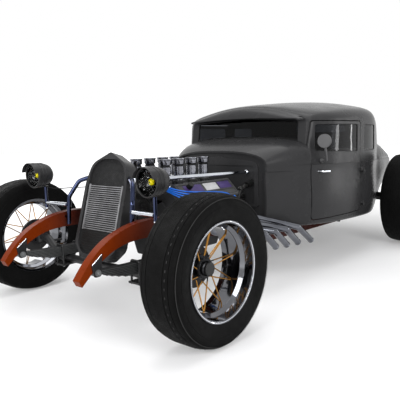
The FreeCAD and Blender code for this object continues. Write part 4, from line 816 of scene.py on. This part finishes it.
# trumpets: bright sleeves and collars, dark bands and bolted feet
stack_foot_y, stack_foot_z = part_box("velocity_stacks")[0][1:]
STACK_R = 0.027
STACK_GRIP = STACK_R + 0.0003
STACK_FEET = [(-0.12, stack_foot_y + 0.04 + 0.119 * i) for i in range(4)]
STACK_FEET += [(0.12, y + 0.018) for _, y in STACK_FEET]
SLEEVE_R = 0.0325
bright, dark, feet = Build(), Build(), Build()
for x, y in STACK_FEET:
    base = Vector((x, y, stack_foot_z))
    bright.ring([(0.016, STACK_GRIP), (0.016, SLEEVE_R - 0.001), (0.017, SLEEVE_R), (0.094, SLEEVE_R),
                 (0.095, SLEEVE_R - 0.001), (0.095, STACK_GRIP)], base, UP, 40)
    bright.ring([(0.104, STACK_GRIP), (0.104, 0.036), (0.106, 0.037), (0.128, 0.0372), (0.129, 0.0362),
                 (0.129, STACK_R + 0.004)], base, UP, 40)
    for z in (0.02, 0.09):
        dark.ring(sleeve(0.0, 0.004, SLEEVE_R, SLEEVE_R + 0.0007), base + UP * z, UP, 40)
    dark.ring(sleeve(0.0955, 0.1035, STACK_GRIP, STACK_R + 0.0026), base, UP, 40)
    feet.ring([(-0.006, STACK_GRIP), (-0.006, 0.038), (0.0015, 0.038), (0.003, 0.036), (0.003, STACK_GRIP)],
              base, UP, 32)
    for t in around(4, 0.5):
        feet.bolt(base + round_z(0.003, 0.0335, t), UP, 0.0028)
bright.piece("trumpet_collars", "polished", "chrome")
dark.piece("trumpet_bands", "black_rubber", "black")
feet.piece("trumpet_feet", "cast_alloy", "cover")

# throttle shafts and levers between the rows
SHAFT_SHARE, SHAFT_R = 0.66, 0.0045
linkage = Build()
for x in (-0.12, 0.12):
    ys = [y for fx, y in STACK_FEET if fx == x]
    shaft = Vector((x * SHAFT_SHARE, 0.0, stack_foot_z + 0.012))
    linkage.bar(shaft + REAR * (ys[0] - 0.05), shaft + REAR * (ys[-1] + 0.05), SHAFT_R)
    for y in ys:
        foot = Vector((x - math.copysign(0.02, x), y, shaft.z))
        linkage.bar(shaft + REAR * y, foot, SHAFT_R)
        linkage.block(frame_at(shaft + REAR * (y + 0.012), UP), (0.01, 0.005, 0.03), 0.001)
linkage.piece("throttle_linkage", "chrome", "chrome")

# distributor cap towers
CAP_Y = COVER_Y[0] + 0.063
TOWER_RING = 0.028
towers = Build()
for t in around(8, 0.5):
    towers.turned([(0.0, 0.0075), (0.01, 0.0065), (0.014, 0.0062), (0.014, 0.004)],
                  round_z(0.7345, TOWER_RING, t) + REAR * CAP_Y, UP, 16)
towers.ring(sleeve(0.0, 0.006, 0.0402, 0.0425), (0.0, CAP_Y, 0.704), UP, 40)
towers.piece("distributor_towers", "black_satin", "black")

# plug leads with boots, four a side, from the cap round the front of each bank
LEAD_R = 0.0038
PLUG_PITCH = 0.115
FIRST_PLUG_Y = -0.943
# clips along the lower edge of each cover: name, finish, places along the car
CLIPS = (("white", "boot_white", (-0.735,)), ("blue", "lead_blue", (-0.69, -0.585)))


def lead_route(sx, i):
    """Control points of one plug lead, from the cap to its plug."""
    plug_y = FIRST_PLUG_Y + PLUG_PITCH * i
    front_y = COVER_Y[0] - 0.022
    t = math.pi * (0.3 - 0.2 * i)
    start = Vector((sx * TOWER_RING * math.cos(t), CAP_Y - TOWER_RING * abs(math.sin(t)), 0.748))
    return [start, start + UP * 0.014, Vector((sx * 0.08, front_y + 0.012, 0.708 + 0.008 * i)),
            bank(sx, 0.064 - 0.013 * i, front_y, 0.396 + 0.004 * i),
            bank(sx, 0.082 - 0.009 * i, plug_y - 0.084, 0.396 + 0.002 * i),
            bank(sx, 0.106, plug_y - 0.03, 0.376), bank(sx, 0.127, plug_y - 0.004, 0.334),
            bank(sx, 0.116, plug_y, 0.312), bank(sx, 0.1, plug_y, 0.3095)]


for side, sx in SIDES:
    boots, tips = Build(), Build()
    for i in range(4):
        # the first lead stands for the CAD's whole set
        lead("plug_lead_%s_%d" % (side, i), lead_route(sx, i), LEAD_R, "lead_blue",
             replaces=["plug_leads"] if i == 0 and side == "left" else ())
        end = bank(sx, 0.106, FIRST_PLUG_Y + PLUG_PITCH * i, 0.31)
        boots.turned([(0.0, 0.005), (0.003, 0.0075), (0.016, 0.0078), (0.02, 0.0088), (0.029, 0.0092),
                      (0.0305, 0.008)], end, -bank_down(sx), 20)
        tips.turned([(-0.004, 0.0045), (0.0, 0.0062), (0.004, 0.0064), (0.005, 0.005)],
                    end, -bank_down(sx), 16)
    boots.piece("plug_boots_" + side, "boot_white" if side == "left" else "lead_blue", "lead")
    tips.piece("plug_boot_rims_" + side, "lead_blue", "lead")
    for name, material, spots in CLIPS:
        clips = Build()
        for y in spots:
            clips.turned([(0.0, 0.005), (0.002, 0.0075), (0.016, 0.0085), (0.024, 0.0085), (0.028, 0.006)],
                         bank(sx, 0.0765, y, 0.366), bank_down(sx), 20)
        clips.piece("lead_clip_%s_%s" % (name, side), material, "lead")

# pulley grooves and the drive belt: height and radius of the crank's and the upper pulley
PULLEYS = ((CRANK_Z, 0.078), (0.56, 0.055))
BELT_RISE = 0.0025
pulley_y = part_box("front_drive")[0][1]
pulleys, loop = Build(), []
for (z, r), first in zip(PULLEYS, (math.pi, 0.0)):
    pulleys.ring([(0.0, r - 0.012), (0.0, r + 0.004), (0.003, r + 0.004), (0.006, r - 0.002),
                  (0.01, r - 0.002), (0.013, r + 0.004), (0.016, r + 0.004), (0.016, r - 0.012)],
                 (0.0, pulley_y + 0.017, z), FRONT, 56)
    face_y = pulley_y + (0.006 if z > CRANK_Z else 0.0)
    for t in around(5):
        pulleys.bolt(round_y(face_y, 0.022, t) + UP * z, FRONT, 0.005)
    for t in even(first, first + math.pi, 13):
        loop.append(round_y(pulley_y + 0.009, r + BELT_RISE, t) + UP * z)
pulleys.piece("pulley_rims", "steel_dark", "engine")
lead("drive_belt", loop, 0.0045, "black_rubber", cyclic=True)

# hose clamps
HOSE_X = 0.04
clamps = Build()
hose_low, hose_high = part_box("radiator_hose")
for y, z in ((hose_high[1] - 0.016, 0.64), (hose_low[1] + 0.03, 0.7125)):
    clamps.ring(sleeve(0.0, 0.01, 0.0192, 0.0206), (HOSE_X, y, z), REAR, 32)
    clamps.block(frame_at((HOSE_X, y + 0.005, z + 0.02), UP), (0.014, 0.01, 0.006), 0.001)
clamps.piece("hose_clamps", "chrome", "chrome")

# exhaust: flanges at the ports and rolled tips
PIPE_R = 0.021
PIPE_GRIP = PIPE_R + 0.0003
PORT_X, PORT_Z = 0.3175, 0.552
PORT_Y = (-1.0, -0.885, -0.77, -0.655)
PIPE_END_X = 0.6
# last bend and mouth of each pipe: Y, Z, Y, Z
PIPE_ENDS = ((-0.665, 0.399, -0.53, 0.287), (-0.541, 0.391, -0.396, 0.276),
             (-0.409, 0.384, -0.254, 0.269), (-0.255, 0.374, -0.074, 0.254))
tips, flanges = Build(), Build()
for side, sx in SIDES:
    way = Vector((sx, 0.0, 0.0))
    for port_y, (bend_y, bend_z, end_y, end_z) in zip(PORT_Y, PIPE_ENDS):
        along = Vector((0.0, end_y - bend_y, end_z - bend_z)).normalized()
        tips.ring([(-0.01, PIPE_R + 0.0002), (-0.009, PIPE_R + 0.0014), (-0.002, PIPE_R + 0.0016),
                   (0.0002, PIPE_R + 0.0004), (0.0004, 0.0186), (-0.0004, 0.0184)],
                  (sx * PIPE_END_X, end_y, end_z), along, 40)
        port = Vector((sx * PORT_X, port_y + 0.004, PORT_Z))
        flanges.ring([(0.0, PIPE_GRIP), (0.0, 0.03), (0.007, 0.03), (0.008, 0.028), (0.008, PIPE_GRIP)],
                     port, way, 32)
        for k in (-1.0, 1.0):
            flanges.bolt(port + way * 0.0079 + REAR * (k * 0.0262), way, 0.0032)
tips.piece("exhaust_tips", "pipe_chrome", "chrome")
flanges.piece("exhaust_flanges", "steel_dark", "engine")


# --------------------------------------------------------------------- nose
LAMPS = [(sx * 0.506, -1.545, 0.778) for _, sx in SIDES]
NOSE_LEAN = math.radians(15.7)
NOSE_FOOT = Vector((0.0, -1.509, 0.308))


def nose(across, up, behind=0.0):
    """Point on the leaning grille plane."""
    s, c = math.sin(NOSE_LEAN), math.cos(NOSE_LEAN)
    return NOSE_FOOT + Vector((across, up * s + behind * c, up * c - behind * s))


def nose_forward():
    return nose(0.0, 0.0, -1.0) - nose(0.0, 0.0)


def nose_frame(up, behind):
    """Matrix on the grille plane: its X across, its Z forward."""
    rise = nose(0.0, 1.0) - nose(0.0, 0.0)
    m = Matrix((LEFT, rise, nose_forward())).transposed().to_4x4()
    m.translation = nose(0.0, up, behind)
    return m


BOWL_R = 0.0751
# rings of bright studs in each lamp: count, ring radius, depth
STUD_ROWS = ((7, 0.059, 0.0295), (3, 0.04, 0.0455))
cups, studs, bands, tops = Build(), Build(), Build(), Build()
for place in LAMPS:
    mouth = Vector(place)
    cups.ring([(0.0125, 0.069), (0.015, 0.0694), (0.03, 0.066), (0.043, 0.052), (0.052, 0.035),
               (0.056, 0.019), (0.055, 0.0185), (0.048, 0.034), (0.039, 0.05), (0.026, 0.063),
               (0.014, 0.068)], mouth, REAR, 64)
    for count, r, depth in STUD_ROWS:
        for t in around(count, 0.25):
            studs.turned([(0.0, 0.0022), (0.001, 0.0021), (0.0018, 0.0015), (0.0021, 0.0005)],
                         mouth + round_y(depth, r, t), FRONT, 12)
    for at in (0.03, 0.052):
        bands.ring(sleeve(at, at + 0.005, BOWL_R, BOWL_R + 0.0012), mouth, REAR, 64)
    bands.ring([(0.0, 0.0702), (-0.0012, 0.0712), (-0.0018, 0.0728), (-0.0012, 0.0744), (0.001, 0.0764),
                (0.004, 0.0782), (0.004, 0.077), (0.001, 0.074)], mouth, REAR, 64)
    tops.turned([(0.0, 0.0046), (0.0006, 0.0046), (0.0012, 0.0036), (0.0013, 0.0006)],
                mouth + REAR * 0.0216, FRONT, 20)
cups.piece("lamp_reflectors", "lamp_black", "lamp")
studs.piece("lamp_studs", "chrome", "chrome")
bands.piece("lamp_bands", "steel_dark", "lamp")
tops.piece("bulb_tips", "black_rubber", "black")

# thin wire from each lamp to the shell
for side, sx in SIDES:
    lead("lamp_wire_" + side, [Vector((sx * 0.47, -1.49, 0.712)), Vector((sx * 0.43, -1.455, 0.69)),
                               Vector((sx * 0.33, -1.42, 0.7)), nose(sx * 0.178, 0.425, 0.03)],
         0.0026, "black_rubber")

# lower screen panel with its louvres and bolts
lower = Build()
lower.block(nose_frame(0.112, 0.013), (0.286, 0.116, 0.004), 0.0012)
for k in range(7):
    lower.block(nose_frame(0.068 + 0.015 * k, 0.009), (0.27, 0.004, 0.003), 0.0008)
for across in (-0.13, 0.13):
    for up in (0.064, 0.16):
        lower.bolt(nose(across, up, 0.0088), nose_forward(), 0.004)
lower.piece("lower_louvre", "black_satin", "black", smooth=False)

# bolts beside the shell and the ends of the rods that run back to the cab
ROD_WAY = Vector((0.056, 1.0276, -0.018))
ROD_ENDS = ((Vector((0.206, -1.374, 0.76)), 1.0), (Vector((0.26169, -0.352, 0.742)), -1.0))
fasteners = Build()
for _, sx in SIDES:
    fasteners.bolt((sx * 0.302, -1.45, 0.53), (sx, 0.0, 0.0), 0.005)
    fasteners.bolt((sx * 0.485, -1.47, 0.574), DOWN, 0.008)
    mirror = Vector((sx, 1.0, 1.0))
    for end, inward in ROD_ENDS:
        way = (ROD_WAY * mirror).normalized() * inward
        fasteners.turned([(0.0, 0.0145), (0.009, 0.015), (0.01, 0.0125)],
                         end * mirror + way * 0.012, way, 24)
fasteners.piece("nose_fasteners", "chrome", "chrome")


# leaf edges along the spring packs in a lighter grey as painted highlights, eye bolts, and a chrome strip on
# the top edge of each front hanger as a painted highlight
EYE_Y, BACK_Y, EYE_Z = -1.755, -1.1, 0.352
PACK_Z, LEAF_PITCH, SAG = 0.36, 0.0084, 0.012
# how far each leaf's front and back ends stop short of the eyes
LEAF_CUTS = ((0.018, 0.018), (0.026, 0.04), (0.04, 0.07), (0.062, 0.105), (0.095, 0.145), (0.135, 0.185),
             (0.18, 0.225))
RAIL_X, LEAF_HALF = 0.339, 0.0228
LEAF_STEPS = 16
FRONT_AXLE_Y = -1.428
CLAMP_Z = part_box("front_axle")[0][2] - 0.0105
edges, eyes, tops = Build(), Build(), Build()
for _, sx in SIDES:
    for i, (front_cut, back_cut) in enumerate(LEAF_CUTS):
        a, b = EYE_Y + front_cut, BACK_Y - back_cut
        for x, grow in ((RAIL_X - LEAF_HALF, -0.0008), (RAIL_X + LEAF_HALF, 0.0008)):
            verts = []
            for y in even(a, b, LEAF_STEPS + 1):
                u = (y - (EYE_Y + BACK_Y) / 2.0) / ((BACK_Y - EYE_Y) / 2.0)
                z = PACK_Z - LEAF_PITCH * i - SAG * (1.0 - u * u)
                verts += [(sx * x, y, z - 0.0004), (sx * (x + grow), y, z - 0.001),
                          (sx * (x + grow), y, z - 0.003), (sx * x, y, z - 0.0038)]
            faces = [(4 * k + j, 4 * k + (j + 1) % 4, 4 * k + 4 + (j + 1) % 4, 4 * k + 4 + j)
                     for k in range(LEAF_STEPS) for j in range(4)]
            last = 4 * LEAF_STEPS
            edges.add(verts, faces + [(0, 1, 2, 3), (last + 3, last + 2, last + 1, last)])
    for y in (EYE_Y, BACK_Y):
        for x, way in ((0.378, 1.0), (0.3, -1.0)):
            eyes.turned([(-0.008, 0.0165), (-0.004, 0.017), (-0.0036, 0.015), (-0.0036, 0.012)],
                        (sx * x, y, EYE_Z), (sx * way, 0.0, 0.0), 28)
            eyes.bolt((sx * x, y, EYE_Z), (sx * way, 0.0, 0.0), 0.0095)
    # chrome strips along each hanger's top edge: painted highlight
    for x in (0.3675, 0.3105):
        tops.bar((sx * x, EYE_Y - 0.031, 0.3945), (sx * x, EYE_Y + 0.029, 0.4381), 0.0034)
    for dy in (-0.06, 0.06):
        for dx in (-0.031, 0.031):
            eyes.bolt((sx * RAIL_X + dx, FRONT_AXLE_Y + dy, CLAMP_Z), DOWN, 0.0065)
edges.piece("leaf_edges", "leaf_edge_painted_highlight", "spring_steel", smooth=False)
eyes.piece("spring_bolts", "bolt_grey", "spring_steel", smooth=False)
tops.piece("hanger_edges", "chrome", "chrome")

# dark steering link and its bracket on the firewall
LINK_AT = Vector((0.23, -0.44, 0.57))
WALL_Y = -0.3585
link = Build()
link.turned([(0.0, 0.01), (0.004, 0.012), (0.016, 0.012), (0.02, 0.0095), (0.104, 0.0095),
             (0.108, 0.012), (0.12, 0.012), (0.124, 0.01)],
            (0.228, -0.44, 0.564), (0.072, 0.012, 0.1), 24)
link.bar(LINK_AT, (LINK_AT.x, WALL_Y, LINK_AT.z), 0.007)
for z in (0.556, 0.584):
    link.bolt((LINK_AT.x, -0.369, z), FRONT, 0.005)
link.block(frame_at((LINK_AT.x, -0.3584, LINK_AT.z), FRONT), (0.03, 0.046, 0.01), 0.002)
link.piece("steering_link", "black_satin", "black")


# ----------------------------------------------------------------- interior
VOXEL = 0.009
PRESSURE = 4.0
SWELL_FRAMES = 20


def baked(obj):
    """Mesh of an object with its modifiers applied; the modifiers go."""
    graph = bpy.context.evaluated_depsgraph_get()
    mesh = bpy.data.meshes.new_from_object(obj.evaluated_get(graph))
    obj.modifiers.clear()
    return mesh


def swollen(obj, cap, fixed_below):
    """Inflates a closed form as cloth, keeps what rests below a height, and caps each point's travel."""
    remesh = obj.modifiers.new("even", "REMESH")
    remesh.mode = "VOXEL"
    remesh.voxel_size = VOXEL
    obj.data = baked(obj)
    start = [v.co.copy() for v in obj.data.vertices]
    cloth = obj.modifiers.new("swell", "CLOTH")
    settings = cloth.settings
    settings.quality = 5
    settings.use_pressure = True
    settings.uniform_pressure_force = PRESSURE
    settings.effector_weights.gravity = 0.0
    scene = bpy.context.scene
    for clock in (scene, cloth.point_cache):
        clock.frame_start, clock.frame_end = 1, SWELL_FRAMES
    for number in range(1, SWELL_FRAMES + 1):
        scene.frame_set(number)
    moved = baked(obj)
    scene.frame_set(1)
    for v, first in zip(moved.vertices, start):
        travel = v.co - first
        if travel.length > cap:
            travel *= cap / travel.length
        if first.z < fixed_below:
            travel.z = max(travel.z, 0.0) * 0.2
        v.co = first + travel
    obj.data = moved


PAD_CELLS = 22
PAD_PINCH = 0.3


def pad_mesh(name, low, high):
    """Closed pad between two corners whose edges pull in."""
    bm = bmesh.new()
    bmesh.ops.create_cube(bm, size=1.0)
    bmesh.ops.subdivide_edges(bm, edges=bm.edges, cuts=PAD_CELLS, use_grid_fill=True)
    mid, size = (low + high) / 2.0, high - low
    for v in bm.verts:
        u = v.co * 2.0
        round_off = Vector((u[i] * math.sqrt(max(0.0, 1.0 - 0.5 * (u[j] ** 2 + u[k] ** 2)
                                                 + u[j] ** 2 * u[k] ** 2 / 3.0))
                            for i, j, k in ((0, 1, 2), (1, 2, 0), (2, 0, 1))))
        v.co = mid + u.lerp(round_off, PAD_PINCH) * size / 2.0
    mesh = bpy.data.meshes.new(name)
    bm.to_mesh(mesh)
    bm.free()
    obj = bpy.data.objects.new(name, mesh)
    bpy.context.scene.collection.objects.link(obj)
    return obj


PLEATS = 15
PLEAT_DEPTH = 0.006


def pleated(obj, low_x, high_x, facing, left_flat):
    """Sewn channels across the padded face of a bench, deepest on the side it faces."""
    pitch = (high_x - low_x) / PLEATS
    normals = [v.normal.copy() for v in obj.data.vertices]
    for v, n in zip(obj.data.vertices, normals):
        share = max(0.0, n.dot(facing))
        if share <= 0.0 or left_flat(v.co):
            continue
        dip = abs(math.sin(math.pi * (v.co.x - low_x) / pitch)) ** 0.35
        v.co -= n * PLEAT_DEPTH * (1.0 - dip) * share


# the cushion bridges the drive line: half width of the bridge and its height, before and after pleating
BRIDGE_HALF, BRIDGE_Z = (0.131, 0.1255), (0.479, 0.4756)
CUSHION_TOP_Z, CUSHION_FALL = 0.44, 0.02
SKIN_GAP = 0.0008


def bridged(mesh, stage):
    """Lifts the underside of the cushion clear of the drive line."""
    for v in mesh.vertices:
        if abs(v.co.x) < BRIDGE_HALF[stage] and v.co.z < BRIDGE_Z[stage]:
            v.co.z = BRIDGE_Z[stage]


cushion_low, cushion_high = (Vector(c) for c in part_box("seat_cushion"))
back_low, back_high = (Vector(c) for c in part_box("seat_back"))
cushion = pad_mesh("bench_cushion", cushion_low + Vector((0.006, 0.012, 0.002)),
                   cushion_high + Vector((-0.006, -0.004, -0.022)))
bridged(cushion.data, 0)
for v in cushion.data.vertices:
    fall = max(0.0, (v.co.y - cushion_low.y) / (cushion_high.y - cushion_low.y))
    if v.co.z > CUSHION_TOP_Z:
        v.co.z -= CUSHION_FALL * fall
swollen(cushion, 0.016, cushion_low.z + 0.02)
back = pad_mesh("bench_back", back_low + Vector((0.006, 0.018, 0.002)),
                back_high + Vector((-0.006, -0.01, -0.01)))
swollen(back, 0.014, -1.0)
for obj, node, low, high, facing, left_flat in (
        (cushion, "seat_cushion", cushion_low, cushion_high, (0.0, -0.35, 0.94), lambda p: p.z < 0.46),
        (back, "seat_back", back_low, back_high, (0.0, -1.0, 0.1), lambda p: p.y > 1.08)):
    smooth = obj.modifiers.new("fine", "SUBSURF")
    smooth.levels = smooth.render_levels = 1
    obj.data = baked(obj)
    pleated(obj, low.x, high.x, Vector(facing).normalized(), left_flat)
    for v in obj.data.vertices:
        for i in range(3):
            v.co[i] = min(max(v.co[i], low[i] + SKIN_GAP), high[i] - SKIN_GAP)
    if obj is cushion:
        bridged(obj.data, 1)
    obj.data.shade_smooth()
    finished(obj, "seat_leather", replaces=[node])

# piping round the cushion's front edge and the back's top: the left half of each, mirrored for the right
for name, half in (("piping_cushion", ((0.44, 0.476, 0.528), (0.466, 0.486, 0.528), (0.47, 0.56, 0.53))),
                   ("piping_back", ((0.445, 1.022, 0.876), (0.47, 1.02, 0.858), (0.47, 1.02, 0.64)))):
    lead(name, [Vector((-x, y, z)) for x, y, z in half[::-1]] + [Vector(p) for p in half], 0.0035,
         "black_leather")

# gauges in the dash: place across, height, radius
GAUGES = ((0.29, 0.806, 0.04), (0.19, 0.8, 0.026), (0.395, 0.8, 0.026), (-0.06, 0.796, 0.026),
          (-0.14, 0.796, 0.026))
DASH_FACE_Y = -0.0635
rims, faces = Build(), Build()
for x, z, r in GAUGES:
    at = Vector((x, DASH_FACE_Y, z))
    rims.ring([(-0.012, r - 0.003), (-0.012, r + 0.003), (0.004, r + 0.003), (0.006, r), (0.004, r - 0.004)],
              at, REAR, 40)
    faces.turned([(-0.012, r - 0.001), (0.0015, r - 0.001), (0.0016, 0.0006)], at, REAR, 40)
rims.piece("gauge_rims", "chrome", "chrome")
faces.piece("gauge_faces", "plate_white", "black")

# horn button on the steering wheel's hub, and the gear lever
WHEEL_AXIS = Vector((0.0, 0.968, 0.249)).normalized()
HUB_AT = Vector((0.29, 0.2292, 0.8196))
horn, lever = Build(), Build()
horn.turned([(0.012, 0.03), (0.015, 0.03), (0.019, 0.026), (0.022, 0.014), (0.023, 0.001)],
            HUB_AT, WHEEL_AXIS, 40)
for t in around(6):
    away = LEFT * math.cos(t) + WHEEL_AXIS.cross(LEFT) * math.sin(t)
    horn.bolt(HUB_AT + WHEEL_AXIS * 0.0122 + away * 0.0318, WHEEL_AXIS, 0.0016)
horn.piece("horn_button", "chrome", "chrome", "steering_wheel")
lever.turned([(0.0, 0.018), (0.004, 0.024), (0.004, 0.011), (0.06, 0.0075), (0.19, 0.0062), (0.192, 0.013),
              (0.204, 0.021), (0.218, 0.021), (0.228, 0.012), (0.23, 0.001)],
             (0.0, 0.13, 0.47), (0.0, 0.26, 0.96), 24)
lever.piece("gear_lever", "chrome", "chrome")


# -------------------------------------------------------------- body details
LAMP_X, LAMP_Z = 0.33, 0.64
lamp_back_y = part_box("tail_lamps")[1][1]
rims = Build()
for _, sx in SIDES:
    rims.ring([(-0.012, 0.0382), (-0.012, 0.042), (-0.002, 0.042), (0.0, 0.0405), (0.0, 0.0385)],
              (sx * LAMP_X, lamp_back_y - 0.0001, LAMP_Z), REAR, 48)
rims.piece("tail_lamp_rims", "chrome", "chrome")


# -------------------------------------------------------------------- stage
def strongest(add, links, outputs):
    """Largest of several outputs; add makes a node of a kind in the same tree."""
    best = outputs[0]
    for other in outputs[1:]:
        node = add("ShaderNodeMath")
        node.operation = "MAXIMUM"
        links.new(best, node.inputs[0])
        links.new(other, node.inputs[1])
        best = node.outputs[0]
    return best


def seen_directly(add, links):
    """1 for what the camera sees, also in gloss and through glass."""
    ray = add("ShaderNodeLightPath")
    rays = [ray.outputs["Is %s Ray" % kind] for kind in ("Camera", "Glossy", "Transmission")]
    return strongest(add, links, rays)


# floor glow near the car and far off, and the distances between which it grows
NEAR_GLOW, FAR_GLOW = 0.24, 1.0
GLOW_START, GLOW_END = 2.6, 6.5
WORLD_LIGHT = 0.42
FLOOR_HALF = 30.0


def stage_finish():
    """Pale floor whose far part brightens into the white surroundings."""
    f = Finish("pale_floor", rough=0.8, Specular_IOR_Level=0.2)
    f.color(f.mix(f.cloud(0.8), tone(214, 214, 215), tone(222, 222, 223)))
    away = f.add("ShaderNodeVectorMath", operation="LENGTH")
    f.links.new(f.place, away.inputs[0])
    far = f.spread(away.outputs["Value"], NEAR_GLOW, FAR_GLOW, GLOW_START, GLOW_END)
    glow = f.add("ShaderNodeEmission")
    f.feed(glow.inputs["Strength"], f.times(seen_directly(f.nodes.new, f.links), far))
    both = f.add("ShaderNodeAddShader")
    f.links.new(f.shader.outputs[0], both.inputs[0])
    f.links.new(glow.outputs[0], both.inputs[1])
    out = next(n for n in f.nodes if n.type == "OUTPUT_MATERIAL")
    f.links.new(both.outputs[0], out.inputs["Surface"])
    return f.material


MATERIAL["pale_floor"] = stage_finish()
corners = [(x * FLOOR_HALF, y * FLOOR_HALF, 0.0) for x, y in ((-1, -1), (1, -1), (1, 1), (-1, 1))]
floor = mesh_object("floor", corners, [(0, 1, 2, 3)], smooth=False)
coat(floor, "pale_floor")
floor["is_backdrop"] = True

world = bpy.data.worlds.new("studio")
bpy.context.scene.world = world
world.use_nodes = True
tree = world.node_tree
sky = tree.nodes["Background"]
sky.inputs["Color"].default_value = (1.0, 1.0, 1.0, 1.0)
gain = tree.nodes.new("ShaderNodeMapRange")
gain.inputs["To Min"].default_value = WORLD_LIGHT
gain.inputs["To Max"].default_value = 1.0
tree.links.new(seen_directly(tree.nodes.new, tree.links), gain.inputs["Value"])
tree.links.new(gain.outputs["Result"], sky.inputs["Strength"])

# name: place, aim, size, watts
SOFTBOXES = {
    "top": ((0.2, -0.3, 4.6), (0.0, 0.0, 0.6), (3.2, 5.2), 120.0),
    "key": ((5.2, -2.6, 2.8), (0.0, 0.0, 0.6), (2.4, 2.6), 190.0),
    "nose_fill": ((0.6, -6.2, 2.4), (0.0, -1.0, 0.6), (3.0, 1.6), 170.0),
    "streak": ((3.5, 3.8, 1.4), (0.6, 0.4, 0.9), (0.26, 2.4), 16.0),
    "thin_streak": ((2.75, 4.7, 1.4), (0.6, 0.4, 0.9), (0.06, 2.0), 4.0),
    "far_side": ((-4.8, -1.0, 2.6), (0.0, 0.0, 0.7), (2.2, 3.2), 90.0),
}
for name, (place, aim, size, power) in SOFTBOXES.items():
    data = bpy.data.lights.new(name, "AREA")
    data.shape = "RECTANGLE"
    data.size, data.size_y = size
    data.energy = power
    lamp = bpy.data.objects.new(name, data)
    bpy.context.scene.collection.objects.link(lamp)
    lamp.location = place
    lamp.rotation_euler = (Vector(aim) - Vector(place)).to_track_quat("-Z", "Y").to_euler()

# ------------------------------------------------------------------- camera
CAMERA_AT = (2.3095, -3.2383, 0.9971)
YAW, PITCH, ROLL = (math.radians(angle) for angle in (40.795, 7.18, -1.287))
CAMERA_LENS, CAMERA_SENSOR = 45.835, 36.0
ahead = Vector((-math.sin(YAW) * math.cos(PITCH), math.cos(YAW) * math.cos(PITCH), -math.sin(PITCH)))
level = ahead.cross(UP).normalized()
above = level.cross(ahead)
right = level * math.cos(ROLL) + above * math.sin(ROLL)
up = above * math.cos(ROLL) - level * math.sin(ROLL)
camera_data = bpy.data.cameras.new("camera")
camera_data.sensor_width = CAMERA_SENSOR
camera_data.lens = CAMERA_LENS
camera = bpy.data.objects.new("camera", camera_data)
bpy.context.scene.collection.objects.link(camera)
pose = Matrix((right, up, -ahead)).transposed().to_4x4()
pose.translation = Vector(CAMERA_AT)
camera.matrix_world = pose
bpy.context.scene.camera = camera
bpy.context.scene.view_settings.view_transform = "Standard"

low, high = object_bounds()
